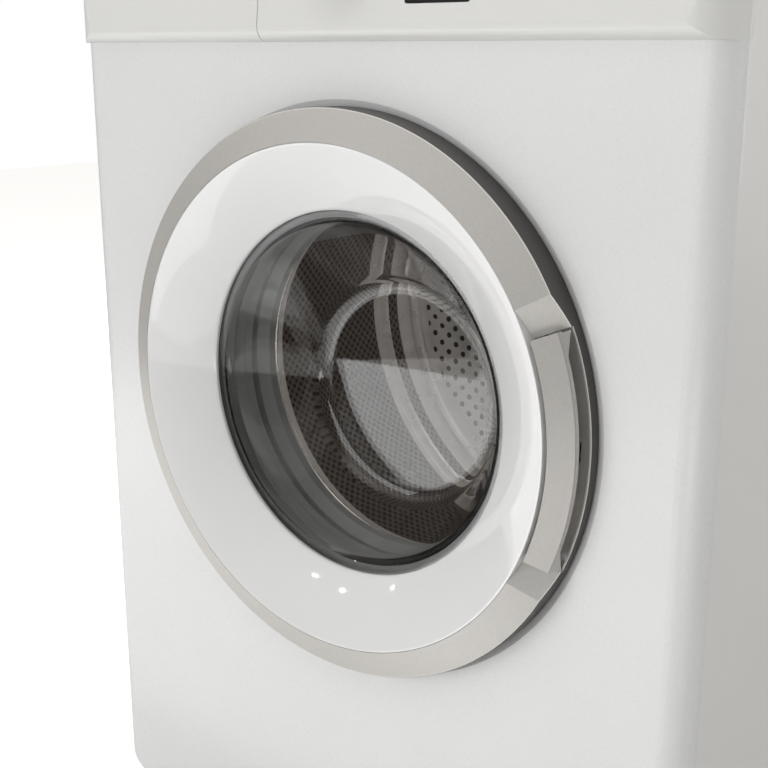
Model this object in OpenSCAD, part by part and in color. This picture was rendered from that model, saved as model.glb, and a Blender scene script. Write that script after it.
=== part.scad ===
// Front-loading washing machine, millimetres, Z up, front towards -Y.
// The origin is on the floor, in the middle of the space that the machine takes.
// Depth is counted back from the outer face of the front panel.

/* [Cabinet] */
// Width of the cabinet
body_w = 600; // [590:1:620]
// Height from the floor to the worktop
body_h = 850; // [845:1:870]
// Depth from the front panel to the rear panel
body_d = 540; // [530:1:580]
// Steel sheet thickness
sheet = 1; // [0.8:0.1:1.2]
// Gap between the cabinet and the floor
foot_gap = 12; // [11:1:18]
// Rounding of the upright front edges
edge_r = 20; // [16:1:22]
// Rounding of the bottom corners in the front view
base_corner_r = 47; // [40:1:52]
// Height of the worktop rim
top_h = 35; // [30:1:38]
// Height of the base frame
base_h = 40; // [36:1:44]

/* [Fascia] */
// Height of the fascia between the front panel and the worktop
fascia_h = 89.2; // [86:0.2:92]
// Distance that the fascia's lower lip stands forward
nose_out = 10; // [7:0.5:12]
// Height of the rounded lower lip
nose_h = 11.7; // [9:0.1:13]
// Backward lean of the fascia's face
lean = 6.5; // [5:0.5:8]
// Wall of the fascia and the drawer front
fascia_t = 2.5; // [2:0.1:3]
// Width of the detergent drawer's front
drawer_w = 224; // [220:1:228]
// Seam between two fascia pieces
seam = 0.6; // [0.4:0.1:1]

/* [Controls] */
// Radius of the programme knob
knob_r = 25; // [22:1:25]
// Height of the programme knob
knob_h = 20; // [16:1:22]
// Centre of the programme knob across the front
knob_x = 3; // [0:1:6]
// Width of the display window
display_w = 54; // [50:1:56]
// Height of the display window
display_h = 36; // [30:1:36]
// Left edge of the display window
display_x = 64; // [62:1:66]
// Travel of a button
button_travel = 1.5; // [1:0.1:1.8]

/* [Detergent drawer] */
// Width of the drawer tray
tray_w = 182; // [170:1:184]
// Height of the drawer tray
tray_h = 52; // [44:1:52]
// Length of the drawer tray
tray_len = 240; // [220:1:244]
// Wall of the tray and its housing
tray_t = 2.2; // [1.8:0.1:2.5]

/* [Door] */
// Height of the door's axis above the floor
door_z = 457; // [450:1:462]
// Radius of the glass opening
glass_r = 146; // [143:0.5:147]
// Width of the white ring
white_w = 52.4; // [51:0.2:54]
// Width of the silver ring
silver_w = 24.6; // [24:0.1:26]
// Gap between the silver ring and the edge of the recess
recess_gap = 5; // [4.5:0.1:7]
// Distance that the crest of the white ring stands forward
crest_out = 30.4; // [29:0.2:32]
// Distance that the silver ring's outer edge stands forward
ring_out = 19.7; // [19:0.1:20.5]
// Depth of the recess in the front panel
recess_d = 24; // [23:0.5:26]
// Wall of the door rings
ring_t = 2.5; // [2:0.1:2.8]
// Half angle of the handle bar
handle_half = 22.9; // [20:0.1:22.9]
// Depth of the glass bowl behind the front panel
bowl_d = 85; // [80:1:86]
// Drop of the bowl's centre below the door's axis
bowl_drop = 13; // [8:1:14]
// Wall of the glass
glass_t = 5; // [4:0.5:5]
// Widest opening of the door
door_max = 130; // [90:5:130]

/* [Tub and drum] */
// Inner radius of the tub
tub_r = 256; // [252:1:257]
// Wall of the tub
tub_t = 6; // [5:0.5:6]
// Radius of the drum
drum_r = 241; // [236:1:242]
// Length of the drum
drum_len = 306; // [290:1:308]
// Radius of the drum shaft at the front bearing
shaft_r = 15; // [13:0.5:16]
// Radius of the drum pulley
pulley_r = 150; // [140:1:152]
// Radius of the motor pulley
motor_pulley_r = 11; // [9:0.5:12]

/* [Hidden] */

$fn = 64;
fn_big = 144;
white = [0.86, 0.86, 0.85];
silver = [0.72, 0.70, 0.68];
steel = [0.66, 0.67, 0.68];
dark = [0.16, 0.16, 0.17];
grey = [0.45, 0.45, 0.46];
pale = [0.80, 0.80, 0.78];
glass = [0.55, 0.60, 0.62, 0.5];

// Clearances: sliding faces, running shafts and pieces that only lie beside each other
slide_gap = 0.6;
run_gap = 0.05;
side_gap = 0.3;

// Overall places
rear_out = 12;
front_y = (crest_out - body_d - rear_out) / 2;
half_w = body_w / 2;
inner_x = half_w - sheet;
top_z = body_h - top_h;
fascia_z = top_z - fascia_h;
nose_z = fascia_z + nose_h;
panel_return = 22;
panel_flange = 18;
base_z = foot_gap + base_h;

// Door radii and depths
crest_r = glass_r + white_w;
ring_r = crest_r + silver_w;
recess_r = ring_r + recess_gap;
mouth_r = glass_r + 6;
seat_d = 22;
ring_back = 2;
pivot_x = -(ring_r - 7);
pivot_d = -10;
arm_half = 19.5;
ear_in = arm_half + 1;
ear_t = 5;
pin_r = 3;
hook_x = crest_r + 0.6;
hook_d = 9;
lever_x = crest_r + 4.6;
lever_d = -19;
lever_r = 2;
pocket_floor = -3;
pocket_lip = -7;
flange_d = 4;
flange_r = glass_r + 12;

// Tub and drum places
tub_front_d = 86;
drum_front_d = 94.5;
drum_back_d = drum_front_d + drum_len;
tub_back_d = drum_back_d + 14;
tub_joint_d = 120;
rim_w = 10;
hub_end_d = tub_back_d + 46;
pulley_d = hub_end_d + 10;
pulley_w = 16;
shaft_end_d = pulley_d + pulley_w + 4;
motor_x = -120;
motor_z = door_z - 322;
motor_d1 = pulley_d - 20.5;
motor_d0 = motor_d1 - 100;
belt_t = 3;

// Collar of the tub, and the front face of the door lock behind the panel
collar_r = mouth_r + 16;

// Springs and dampers that carry the tub, as across, depth and height
spring_d = 310;
spring_top = [inner_x - 37, spring_d, top_z - 46];
spring_low = [214, spring_d, door_z + 205];
damper_d = 230;
damper_low = [half_w - 75, damper_d, base_z + 22];
damper_high = [138, damper_d, door_z - 243];
damper_eye = 4;
damper_foot = 5;

// Seats in the recess for the hinge and the latch: across, across and half height
hinge_seat = [-(recess_r - 16), -(mouth_r + 24), 34];
lock_seat = [mouth_r + 24, recess_r - 16, 22];

// Opening for the drain filter at the lower right, and the hinge of its flap
flap_x0 = half_w - 170;
flap_x1 = half_w - 50;
flap_z0 = foot_gap + 28;
flap_z1 = foot_gap + 108;
flap_hinge_d = 4.5;
flap_hinge_z = flap_z0 + 5;
flap_arms = [flap_x0 + 9, flap_x1 - 13];
flap_arm_r = 1.9;
flap_pin_r = 1;
flap_corner = 1;
flap_play = 0.5;

// Things on the rear: half width, low, high and corner of the service hole, then the fittings
service_hole = [170, door_z - 230, door_z + 190, 40];
transit_x = service_hole[0] + 45;
transit_places = [for (x = [-transit_x, transit_x], z = [door_z - 127, door_z + 133]) [x, z]];
transit_r = 15;
valve_x = half_w - 85;
valve_z = top_z - 40;
valve_r = 13.2;
gland_x = -half_w + 60;
gland_z = top_z - 45;
gland_r = 9;
shoulder = 2;

// Drain: pump, outlet hose and the hose from the sump
pump_x = half_w - 110;
pump_z = 92;
pump_d = 110;
drain_x = half_w - 38;
drain_r = 10;
spigot_r = 9;
sump_x = 110;
sump = [sump_x, 150, door_z - sqrt(pow(tub_r + tub_t, 2) - pow(sump_x, 2)) + 1.8];
sump_line = ([pump_x, pump_d, pump_z] - sump) / norm([pump_x, pump_d, pump_z] - sump);
sump_r = 14;
sump_bore = 11;
pump_stub = 50;

// Drawer, its housing and the hoses that meet it
drawer_seam_x = -half_w + drawer_w;
fascia_back = panel_return - side_gap;
frame_d = 12;
tray_x0 = -half_w + 19;
tray_x1 = tray_x0 + tray_w;
tray_z0 = fascia_z + 16;
tray_z1 = tray_z0 + tray_h;
tray_d0 = 14;
tray_d1 = tray_d0 + tray_len;
powder_wall = tray_x0 + tray_w * 0.36;
divider = tray_x0 + tray_w * 0.68;
grip_x0 = tray_x0 + 46;
grip_x1 = tray_x0 + 140;
grip_z0 = fascia_z + 38;
grip_z1 = top_z - 18;
housing_d1 = tray_d1 + 14;
housing_x0 = tray_x0 - slide_gap - tray_t;
housing_x1 = tray_x1 + slide_gap + tray_t;
housing_z0 = tray_z0 - side_gap - tray_t;
housing_z1 = tray_z1 + 6 + tray_t;
outlet = [housing_x1 - 34, 225];
outlet_r = 16;
hose_low = door_z + sqrt(pow(tub_r + tub_t, 2) - pow(outlet[0], 2)) - 8;
fill_x = housing_x0 + 60;
fill_z = housing_z0 + 40;

// Controls: across, height, width, height on the face and corner radius of each button
knob_z = fascia_z + 55.4;
display_mid = fascia_z + 42.7;
buttons = [
    [half_w - 48, fascia_z + 60, 16, 16, 7.9],
    [half_w - 92, fascia_z + 60, 40, 16, 3],
    [half_w - 100, fascia_z + 34, 24, 11, 3],
    [half_w - 60, fascia_z + 34, 24, 11, 3]
];
board_x0 = -24;
board_x1 = half_w - 28;
board_low = -21;
board_top = -19.4;

// Screws of the feet, and the two bars that the pump stands on
foot_screw_r = 5;
pump_seats = [79, 141];

// Lever lugs in the handle pocket: their height above and below the axis
lug_z = 38;

// Depth of the fascia at a height, of the recess at a radius, of the silver and of the white ring
function face_d(z) = -nose_out + (z - nose_z) * tan(lean);
function dish(r) = recess_d * (1 - pow((r - mouth_r) / (recess_r - mouth_r), 1.85));
function cone_d(r) = -crest_out + (crest_out - ring_out) * (r - crest_r) / silver_w;
function white_d(r) = let (t = (crest_r - r) / white_w)
    -crest_out + (crest_out + 1) * (0.75 * t + 0.25 * t * t);
function span(a, b, n) = [for (i = [0:n]) a + (b - a) * i / n];

// A box between two corners given as across, depth and height
module box(x0, x1, d0, d1, z0, z1) {
    translate([x0, front_y + d0, z0]) cube([x1 - x0, d1 - d0, z1 - z0]);
}

// A box that lies evenly above and below the door's axis
module door_box(x0, x1, d0, d1, half) {
    box(x0, x1, d0, d1, door_z - half, door_z + half);
}

// Round bars along the three directions
module bar_y(x, z, d0, d1, r) {
    translate([x, front_y + d1, z]) rotate([90, 0, 0]) cylinder(h = d1 - d0, r = r);
}
module bar_z(x, d, z0, z1, r) {
    translate([x, front_y + d, z0]) cylinder(h = z1 - z0, r = r);
}
module bar_x(d, z, x0, x1, r) {
    translate([x0, front_y + d, z]) rotate([0, 90, 0]) cylinder(h = x1 - x0, r = r);
}

// A round bar from one point to another
module rod(p, q, r) {
    v = q - p;
    translate([p[0], front_y + p[1], p[2]])
        rotate([0, acos(v[2] / norm(v)), atan2(v[1], v[0])])
            cylinder(h = norm(v), r = r);
}

// Turn an outline of radius and depth about the door's axis
module revolve(half = 180) {
    translate([0, front_y, door_z])
        rotate([-90, 0, 0])
            rotate([0, 0, -half])
                rotate_extrude(angle = 2 * half, $fn = fn_big) children();
}

// Push an outline of depth and height across, of across and depth upward,
// or of across and height backward
module across(x0, x1) {
    translate([x0, front_y, 0]) rotate([90, 0, 90]) linear_extrude(x1 - x0) children();
}
module upward(z0, z1) {
    translate([0, front_y, z0]) linear_extrude(z1 - z0) children();
}
module backward(d0, d1) {
    translate([0, front_y + d1, 0]) rotate([90, 0, 0]) linear_extrude(d1 - d0) children();
}

// Flat rectangle with round corners between two corners
module round_rect(x0, x1, y0, y1, r) {
    translate([x0 + r, y0]) square([x1 - x0 - 2 * r, y1 - y0]);
    translate([x0, y0 + r]) square([x1 - x0, y1 - y0 - 2 * r]);
    for (x = [x0 + r, x1 - r], y = [y0 + r, y1 - r]) translate([x, y]) circle(r);
}

// Plan of the cabinet's front, with round front corners
module plan(inset, d0, d1, r) {
    translate([-half_w + inset, d0 + r]) square([body_w - 2 * inset, d1 - d0 - r]);
    translate([-half_w + inset + r, d0]) square([body_w - 2 * inset - 2 * r, d1 - d0]);
    for (s = [-1, 1]) translate([s * (half_w - inset - r), d0 + r]) circle(r);
}

// A local frame on the fascia's face: X across, Y up the face, Z out of it
module on_fascia(x, z) {
    translate([x, front_y + face_d(z), z]) rotate([90 - lean, 0, 0]) children();
}

// A wound wire as one unbroken tube
module coil(r, w, pitch, turns, steps = 8, sides = 6) {
    n = round(turns * steps);
    tilt = atan(pitch / (2 * PI * r));
    points = [for (i = [0:n], j = [0:sides - 1])
        let (a = 360 * i / steps, b = 360 * j / sides, out = r + w * cos(b))
        [out * cos(a) + w * sin(b) * sin(tilt) * sin(a),
         out * sin(a) - w * sin(b) * sin(tilt) * cos(a),
         pitch * i / steps + w * sin(b) * cos(tilt)]];
    walls = [for (i = [0:n - 1], j = [0:sides - 1])
        let (k = (j + 1) % sides, p = i * sides, q = p + sides)
        each [[p + j, q + k, q + j], [p + j, p + k, q + k]]];
    start = [for (j = [sides - 1:-1:0]) j];
    end = [for (j = [0:sides - 1]) n * sides + j];
    polyhedron(points, concat(walls, [start, end]), convexity = 6);
}

// Cabinet

// Base frame as a tray whose front is rounded like the front panel
module base_tray(inset, d0, d1) {
    front = 72;
    low = foot_gap + inset;
    high = inset > 0 ? base_z + 1 : base_z;
    box(-inner_x + inset, inner_x - inset, front + inset, d1, low, high);
    intersection() {
        box(-inner_x + inset, inner_x - inset, d0, front + inset + 1, low, high);
        backward(d0, front + inset + 1) front_outline(inset);
    }
}

module base_frame() {
    wall = 3;
    post_x = damper_low[0];
    seat_z = foot_gap + 14;
    seat_x0 = pump_x - 70;
    color(grey) difference() {
        union() {
            difference() {
                base_tray(0, panel_return, body_d - 2 * sheet);
                base_tray(wall, panel_return + wall, body_d - 2 * sheet - wall);
                box(-inner_x + 30, inner_x - 30, 80, body_d - 60, foot_gap - 1, base_z + 1);
            }
            box(-inner_x + 29, inner_x - 29, damper_d - 25, damper_d + 25, foot_gap, foot_gap + 12);
            for (s = [-1, 1]) {
                x = s * post_x;
                box(x - 14, x + 14, damper_d - 25, damper_d + 25, foot_gap, base_z + 10);
                for (x0 = [x - 14, x + 10])
                    box(x0, x0 + 4, damper_d - 12, damper_d + 12, foot_gap, damper_low[2] + 7);
                bar_x(damper_d, damper_low[2], x - 12, x + 12, damper_foot);
            }
            foot_places() bar_z(0, 0, foot_gap, base_z, 11);
            for (d = pump_seats) box(seat_x0, inner_x - 20, d - 1, d + 11, foot_gap, seat_z);
            box(seat_x0, seat_x0 + 12, 70, pump_seats[1] + 11, foot_gap, seat_z);
            for (x = flap_arms) {
                bar_x(flap_hinge_d, flap_hinge_z, x, x + 4, flap_arm_r);
                box(x, x + 4, flap_hinge_d, panel_return + 4, flap_hinge_z - flap_arm_r,
                    flap_hinge_z + flap_arm_r);
            }
        }
        bar_x(flap_hinge_d, flap_hinge_z, flap_arms[0] - 1, flap_arms[1] + 5, flap_pin_r + run_gap);
        foot_places() bar_z(0, 0, foot_gap - 1, base_z + 1, foot_screw_r + run_gap);
    }
}

module foot_places() {
    for (x = [-half_w + 50, half_w - 50], d = [60, body_d - 50]) translate([x, d, 0]) children();
}

module feet() {
    color(dark) foot_places() {
        bar_z(0, 0, 0, 3, 22);
        bar_z(0, 0, 3, 6, 17);
        bar_z(0, 0, 6, base_z - 4, foot_screw_r);
    }
}

module foot_nuts() {
    color(steel) foot_places() difference() {
        translate([0, front_y, 6.2]) cylinder(h = foot_gap - 6.2, r = 9.8, $fn = 6);
        bar_z(0, 0, 5, foot_gap + 1, foot_screw_r + run_gap);
    }
}

module side_panel(s) {
    depth = 4;
    d0 = panel_return;
    color(white) difference() {
        union() {
            side_plate(s, half_w - sheet, half_w, d0, body_d);
            side_field(s, half_w - sheet - depth, half_w, 0);
            bent(s, inner_x - 14, inner_x, body_d - 2 * sheet, body_d - sheet, base_z, top_z);
            bent(s, inner_x - panel_flange, inner_x, d0, d0 + sheet, base_z, fascia_z - 12);
            bent(s, inner_x - 12, inner_x, d0, body_d - 2 * sheet, top_z - sheet, top_z);
            spring_ear(s);
        }
        side_field(s, half_w - depth, half_w + 1, sheet);
    }
}

// Plate of the side panel with its round lower front corner
module side_plate(s, x0, x1, d0, d1) {
    r = 30;
    a = s > 0 ? x0 : -x1;
    across(a, a + x1 - x0) {
        translate([d0 + r, foot_gap]) square([d1 - d0 - r, r]);
        translate([d0, foot_gap + r]) square([d1 - d0, top_z - foot_gap - r]);
        translate([d0 + r, foot_gap + r]) circle(r);
    }
}

// Pressed field that stiffens the side panel
module side_field(s, x0, x1, inset) {
    a = s > 0 ? x0 : -x1;
    across(a, a + x1 - x0)
        round_rect(90 + inset, body_d - 60 - inset, foot_gap + 90 + inset, top_z - 150 - inset, 30 - inset);
}

// Flange bent in from the side panel
module bent(s, x0, x1, d0, d1, z0, z1) {
    a = s > 0 ? x0 : -x1;
    box(a, a + x1 - x0, d0, d1, z0, z1);
}

// Bracket that carries a suspension spring
module spring_ear(s) {
    difference() {
        bent(s, spring_top[0] - 10, inner_x, spring_d - 20, spring_d + 20, spring_top[2] + 3,
            spring_top[2] + 6);
        bar_z(s * spring_top[0], spring_d, spring_top[2], spring_top[2] + 10, 3);
    }
}

module side_panel_left() side_panel(-1);
module side_panel_right() side_panel(1);

// Body of the front panel with an inset on every side
module front_box(inset, back) {
    intersection() {
        upward(foot_gap + inset, fascia_z - inset) plan(inset, inset, back, edge_r - inset);
        backward(inset, back) front_outline(inset);
    }
}
module front_outline(inset) {
    r = base_corner_r - inset;
    x = half_w - inset;
    translate([-x, foot_gap + inset + r]) square([2 * x, fascia_z - foot_gap - 2 * inset - r]);
    translate([-x + r, foot_gap + inset]) square([2 * x - 2 * r, r]);
    for (s = [-1, 1]) translate([s * (x - r), foot_gap + inset + r]) circle(r);
}

// Pressed seat in the recess, flat at its floor
module seat(x0, x1, half, grow) {
    door_box(x0 - grow, x1 + grow, grow > 0 ? 1 : -crest_out, seat_d + grow, half + grow);
}

module front_panel() {
    rs = span(recess_r, mouth_r, 14);
    collar_d = recess_d + 10;
    color(white) difference() {
        union() {
            difference() {
                front_box(0, panel_return);
                front_box(sheet, panel_return - sheet);
                backward(sheet, panel_return + 1) intersection() {
                    front_outline(panel_flange);
                    translate([-half_w, 0]) square([body_w, fascia_z - panel_flange]);
                }
            }
            revolve() polygon(concat(
                [[0, 0], [recess_r + 1, 0], [recess_r + 1, sheet]],
                [for (r = rs) [r + sheet * 0.4, dish(r) + sheet]],
                [[mouth_r + sheet, collar_d], [0, collar_d]]));
            seat(hinge_seat[0], hinge_seat[1], hinge_seat[2], sheet);
            seat(lock_seat[0], lock_seat[1], lock_seat[2], sheet);
        }
        revolve() polygon(concat(
            [[0, -crest_out], [recess_r, -crest_out]],
            [for (r = rs) [r, dish(r)]],
            [[mouth_r, collar_d + 1], [0, collar_d + 1]]));
        seat(hinge_seat[0], hinge_seat[1], hinge_seat[2], 0);
        seat(lock_seat[0], lock_seat[1], lock_seat[2], 0);
        door_box(hook_x - 9.5, hook_x + 10.9, seat_d - 1, seat_d + 5, 9);
        backward(-1, panel_return + 2) round_rect(flap_x0, flap_x1, flap_z0, flap_z1, flap_corner);
    }
}

module filter_flap() {
    t = 2.4;
    g = flap_play;
    color(white) {
        backward(0, t) round_rect(flap_x0 + g, flap_x1 - g, flap_z0 + 3 * g, flap_z1 - g, flap_corner - 0.2);
        box(flap_x0 + 12, flap_x1 - 12, t, t + 6, flap_z1 - 12, flap_z1 - 9);
        for (x = [flap_x0 + 14, flap_x1 - 24]) {
            bar_x(flap_hinge_d, flap_hinge_z, x, x + 10, 3);
            box(x, x + 10, t - 0.5, flap_hinge_d, flap_hinge_z - 3, flap_hinge_z + 3);
        }
        bar_x(flap_hinge_d, flap_hinge_z, flap_arms[0] + 0.5, flap_arms[0] + 6, flap_pin_r);
        bar_x(flap_hinge_d, flap_hinge_z, flap_arms[1] - 2, flap_arms[1] + 3.5, flap_pin_r);
    }
}

module rear_panel() {
    x = inner_x - side_gap;
    color(steel) difference() {
        box(-x, x, body_d - sheet, body_d, foot_gap, top_z);
        backward(body_d - 5, body_d + 5)
            round_rect(-service_hole[0], service_hole[0], service_hole[1], service_hole[2], service_hole[3]);
        for (p = transit_places) bar_y(p[0], p[1], body_d - 5, body_d + 5, transit_r);
        bar_y(valve_x, valve_z, body_d - 5, body_d + 5, valve_r + shoulder + side_gap);
        bar_y(gland_x, gland_z, body_d - 5, body_d + 5, gland_r + side_gap);
        bar_y(drain_x, pump_z, body_d - 5, body_d + 5, drain_r + shoulder + side_gap);
        screw_places() bar_y(0, 0, body_d - 5, body_d + 5, 2);
    }
}

// Screws of the rear cover, then those of the rear panel
module screw_places() {
    x1 = service_hole[0] + 9;
    for (x = [-x1, x1], z = span(service_hole[1] + 40, service_hole[2] - 40, 2))
        translate([x, 0, z]) children();
}
module edge_places() {
    for (x = [-inner_x + 8, inner_x - 8], z = span(base_z + 30, top_z - 30, 3))
        translate([x, 0, z]) children();
}

module rear_cover() {
    rise = rear_out - 2;
    m = 8;
    color(steel) difference() {
        union() {
            backward(body_d, body_d + 1.2) round_rect(-service_hole[0] - 16, service_hole[0] + 16,
                service_hole[1] - 16, service_hole[2] + 16, service_hole[3] + 16);
            backward(body_d, body_d + rise) round_rect(-service_hole[0] + m, service_hole[0] - m,
                service_hole[1] + m, service_hole[2] - m, service_hole[3] - m);
            for (i = [0:4]) bar_x(body_d + rise - 4, door_z - 120 + i * 50, -110, 110, 6);
        }
        backward(body_d - 1, body_d + rise - 1.2) round_rect(-service_hole[0] + m + 1.2,
            service_hole[0] - m - 1.2, service_hole[1] + m + 1.2, service_hole[2] - m - 1.2,
            service_hole[3] - m - 1.2);
        for (i = [0:4]) bar_x(body_d + rise - 4, door_z - 120 + i * 50, -109, 109, 4.8);
        screw_places() bar_y(0, 0, body_d - 5, body_d + 5, 2);
    }
}

module rear_screws() {
    color(steel) {
        screw_places() {
            bar_y(0, 0, body_d + 1.2, body_d + 3.4, 4);
            bar_y(0, 0, body_d - 8, body_d + 1.2, 1.9);
        }
        edge_places() bar_y(0, 0, body_d, body_d + 2.2, 4);
    }
}

module transit_plugs() {
    color(grey) for (p = transit_places) {
        bar_y(p[0], p[1], body_d, body_d + 3, 19);
        difference() {
            bar_y(p[0], p[1], body_d - 12, body_d, transit_r - side_gap);
            bar_y(p[0], p[1], body_d - 13, body_d - 2, 12.5);
        }
    }
}

module top_cover() {
    d0 = -2;
    r = 14;
    color(white) difference() {
        intersection() {
            upward(top_z, body_h) plan(0, d0, body_d, r);
            across(-half_w, half_w) {
                translate([d0 + r, top_z]) square([body_d - d0 - r, top_h]);
                translate([d0, top_z]) square([r + 1, top_h - r]);
                translate([d0 + r, body_h - r]) circle(r);
            }
        }
        upward(top_z - 1, body_h - 14) plan(8, d0 + 10, body_d - 6, 8);
        box(-half_w + 26, half_w - 26, 36, body_d - 30, top_z, body_h - 11);
        box(-half_w + 18, half_w - 18, 28, body_d - 20, body_h - 11, body_h + 1);
    }
}

module top_board() {
    g = side_gap;
    color(white) box(-half_w + 18 + g, half_w - 18 - g, 28 + g, body_d - 20 - g, body_h - 11, body_h - 0.5);
}

module top_braces() {
    t = 1.5;
    z1 = top_z - sheet;
    color(steel) for (d = [24, body_d - 40]) difference() {
        box(-inner_x, inner_x, d, d + 34, z1 - 10, z1);
        box(-inner_x - 1, inner_x + 1, d + t, d + 34 - t, z1 - 10 - t, z1 - t);
    }
}

// Fascia

// Side outline of the fascia: a rounded lower lip and a face that leans back
module fascia_outline(t, back) {
    low = fascia_z + t;
    polygon(concat(
        [for (a = [0:10:90]) [t - nose_out * sin(a), low + (nose_h - t) * (1 - cos(a))]],
        [[face_d(top_z - t) + t, top_z - t], [back, top_z - t], [back, low]]));
}

module fascia_shell(t, x0, x1, back) {
    r = edge_r + nose_out;
    intersection() {
        across(x0, x1) fascia_outline(t, back);
        upward(fascia_z - 1, top_z + 1) plan(t, -nose_out + t, back + 1, r - t);
    }
}

module fascia() {
    x0 = drawer_seam_x + seam / 2;
    color(white) difference() {
        union() {
            difference() {
                fascia_shell(0, x0, half_w, fascia_back);
                fascia_shell(fascia_t, x0 + fascia_t, half_w, fascia_back + 1);
            }
            difference() {
                box(-half_w + 2, x0 + 1, frame_d, frame_d + fascia_t, fascia_z, top_z);
                box(tray_x0 - 4, tray_x1 + 4, frame_d - 1, frame_d + 4, tray_z0 - 5, tray_z1 + 5);
            }
            difference() {
                fascia_shell(0, -half_w, -half_w + 40, fascia_back);
                fascia_shell(fascia_t, -half_w + fascia_t, 0, fascia_back + 1);
                box(-half_w - 1, 0, -40, frame_d, 0, body_h);
            }
            board_posts();
        }
        on_fascia(knob_x, knob_z) translate([0, 0, -9]) cylinder(h = 12, r = 5);
        on_fascia(display_x + display_w / 2, display_mid) plate(display_w + 0.6, display_h + 0.6, -9, 3, 2);
        for (b = buttons) on_fascia(b[0], b[1]) plate(b[2] + 0.6, b[3] + 0.6, -9, 3, b[4]);
    }
}

// Flat plate in the local frame of the fascia
module plate(w, h, z0, z1, r) {
    translate([0, 0, z0]) linear_extrude(z1 - z0) round_rect(-w / 2, w / 2, -h / 2, h / 2, r);
}

module board_posts() {
    for (x = [board_x0 + 6, display_x - 14, display_x + display_w + 22, board_x1 - 6], y = [-24, 24])
        on_fascia(x, display_mid) translate([0, y, board_top]) cylinder(h = -board_top - 1, r = 3);
}

module display_window() {
    color(dark) on_fascia(display_x + display_w / 2, display_mid) {
        plate(display_w, display_h, -fascia_t, 0, 2);
        plate(display_w + 8, display_h + 8, -fascia_t - 2, -fascia_t, 3);
    }
}

module control_board() {
    mid = (board_x0 + board_x1) / 2;
    color([0.1, 0.35, 0.2]) on_fascia(mid, display_mid) {
        plate(board_x1 - board_x0, 56, board_low, board_top, 2);
        translate([knob_x - mid, knob_z - display_mid, board_top]) cylinder(h = 8, r = 9);
        translate([display_x + display_w / 2 - mid, 0, 0])
            plate(display_w - 6, display_h - 6, board_top, -fascia_t - 2, 2);
        for (b = buttons) translate([b[0] - mid, b[1] - display_mid, 0])
            plate(6, 6, board_top, -12.8, 1);
        translate([0, 0, board_low - 12]) plate(40, 24, 0, 12, 1);
    }
}

module programme_knob() {
    flutes = 36;
    color(silver) on_fascia(knob_x, knob_z) difference() {
        union() {
            translate([0, 0, 0.4]) cylinder(h = 3, r = knob_r + 2);
            translate([0, 0, 3]) cylinder(h = knob_h - 4.5, r = knob_r);
            translate([0, 0, knob_h - 2]) cylinder(h = 2, r1 = knob_r, r2 = knob_r - 2);
            translate([0, 0, -11]) cylinder(h = 12, r = 3);
        }
        for (i = [0:flutes - 1]) rotate([0, 0, (i + 0.5) * 360 / flutes])
            translate([knob_r + 0.4, 0, 4]) cylinder(h = knob_h, r = 1.2, $fn = 16);
        translate([-1.2, knob_r - 13, knob_h - 0.8]) cube([2.4, 14, 2]);
    }
}

module button(i) {
    b = buttons[i];
    color(silver) on_fascia(b[0], b[1]) {
        plate(b[2], b[3], -fascia_t - 0.4, 2, b[4]);
        plate(b[2] + 4, b[3] + 3, -fascia_t - 2.4, -fascia_t - 0.3, 3);
        translate([0, 0, -10.8]) cylinder(h = 7, r = 2.4);
    }
}
module button_power() button(0);
module button_start() button(1);
module button_temperature() button(2);
module button_spin() button(3);

// Detergent drawer

module drawer_front() {
    x1 = drawer_seam_x - seam / 2;
    back = frame_d - side_gap;
    color(white) difference() {
        union() {
            difference() {
                fascia_shell(0, -half_w, x1, back);
                fascia_shell(fascia_t, -half_w, x1 - fascia_t, back + 1);
            }
            box(grip_x0 - 2, grip_x1 + 2, -7, back - 1, grip_z0 - 2, grip_z1 + 2);
            for (x = [grip_x0 - 22, grip_x1 + 12]) box(x, x + 10, -7, tray_d0, tray_z0 + 8, tray_z1 - 6);
        }
        backward(-20, back - 3) round_rect(grip_x0, grip_x1, grip_z0, grip_z1 - 14, 8);
        box(grip_x0, grip_x1, -5, back - 3, grip_z0 + 10, grip_z1);
    }
}

// Tray with a fixed wall beside the powder, and a divider that slides in beside the prewash
module drawer_tray() {
    d1 = tray_d1;
    color(pale) {
        difference() {
            union() {
                difference() {
                    box(tray_x0, tray_x1, tray_d0, d1, tray_z0, tray_z1);
                    box(tray_x0 + tray_t, tray_x1 - tray_t, tray_d0 + 3, d1 - tray_t, tray_z0 + tray_t,
                        tray_z1 + 1);
                }
                box(powder_wall, powder_wall + 2, tray_d0 + 1, d1 - 1, tray_z0 + 1, tray_z1 - 3);
            }
            for (x = span(tray_x0 + 12, tray_x0 + 52, 5))
                box(x, x + 4, d1 - 5, d1 + 1, tray_z0 + 8, tray_z1 - 14);
        }
        box(divider, divider + 2, tray_d0 + 3 + side_gap, d1 - tray_t - side_gap,
            tray_z0 + tray_t + side_gap, tray_z1 - 3);
    }
}

module siphon_insert() {
    x0 = powder_wall + 2 + side_gap;
    x1 = divider - side_gap;
    d1 = tray_d1 - tray_t - side_gap;
    mid = (x0 + x1) / 2;
    color([0.35, 0.5, 0.75]) difference() {
        union() {
            box(x0, x1, d1 - 70, d1, tray_z1 - 10, tray_z1 - 8);
            bar_z(mid, d1 - 30, tray_z0 + tray_t, tray_z1 - 9, 9);
        }
        bar_z(mid, d1 - 30, tray_z0, tray_z1 - 12, 6.5);
        for (a = [0:90:270]) translate([mid, front_y + d1 - 30, tray_z0 + 5])
            rotate([0, 0, a]) cube([12, 3, 12]);
    }
}

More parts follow.
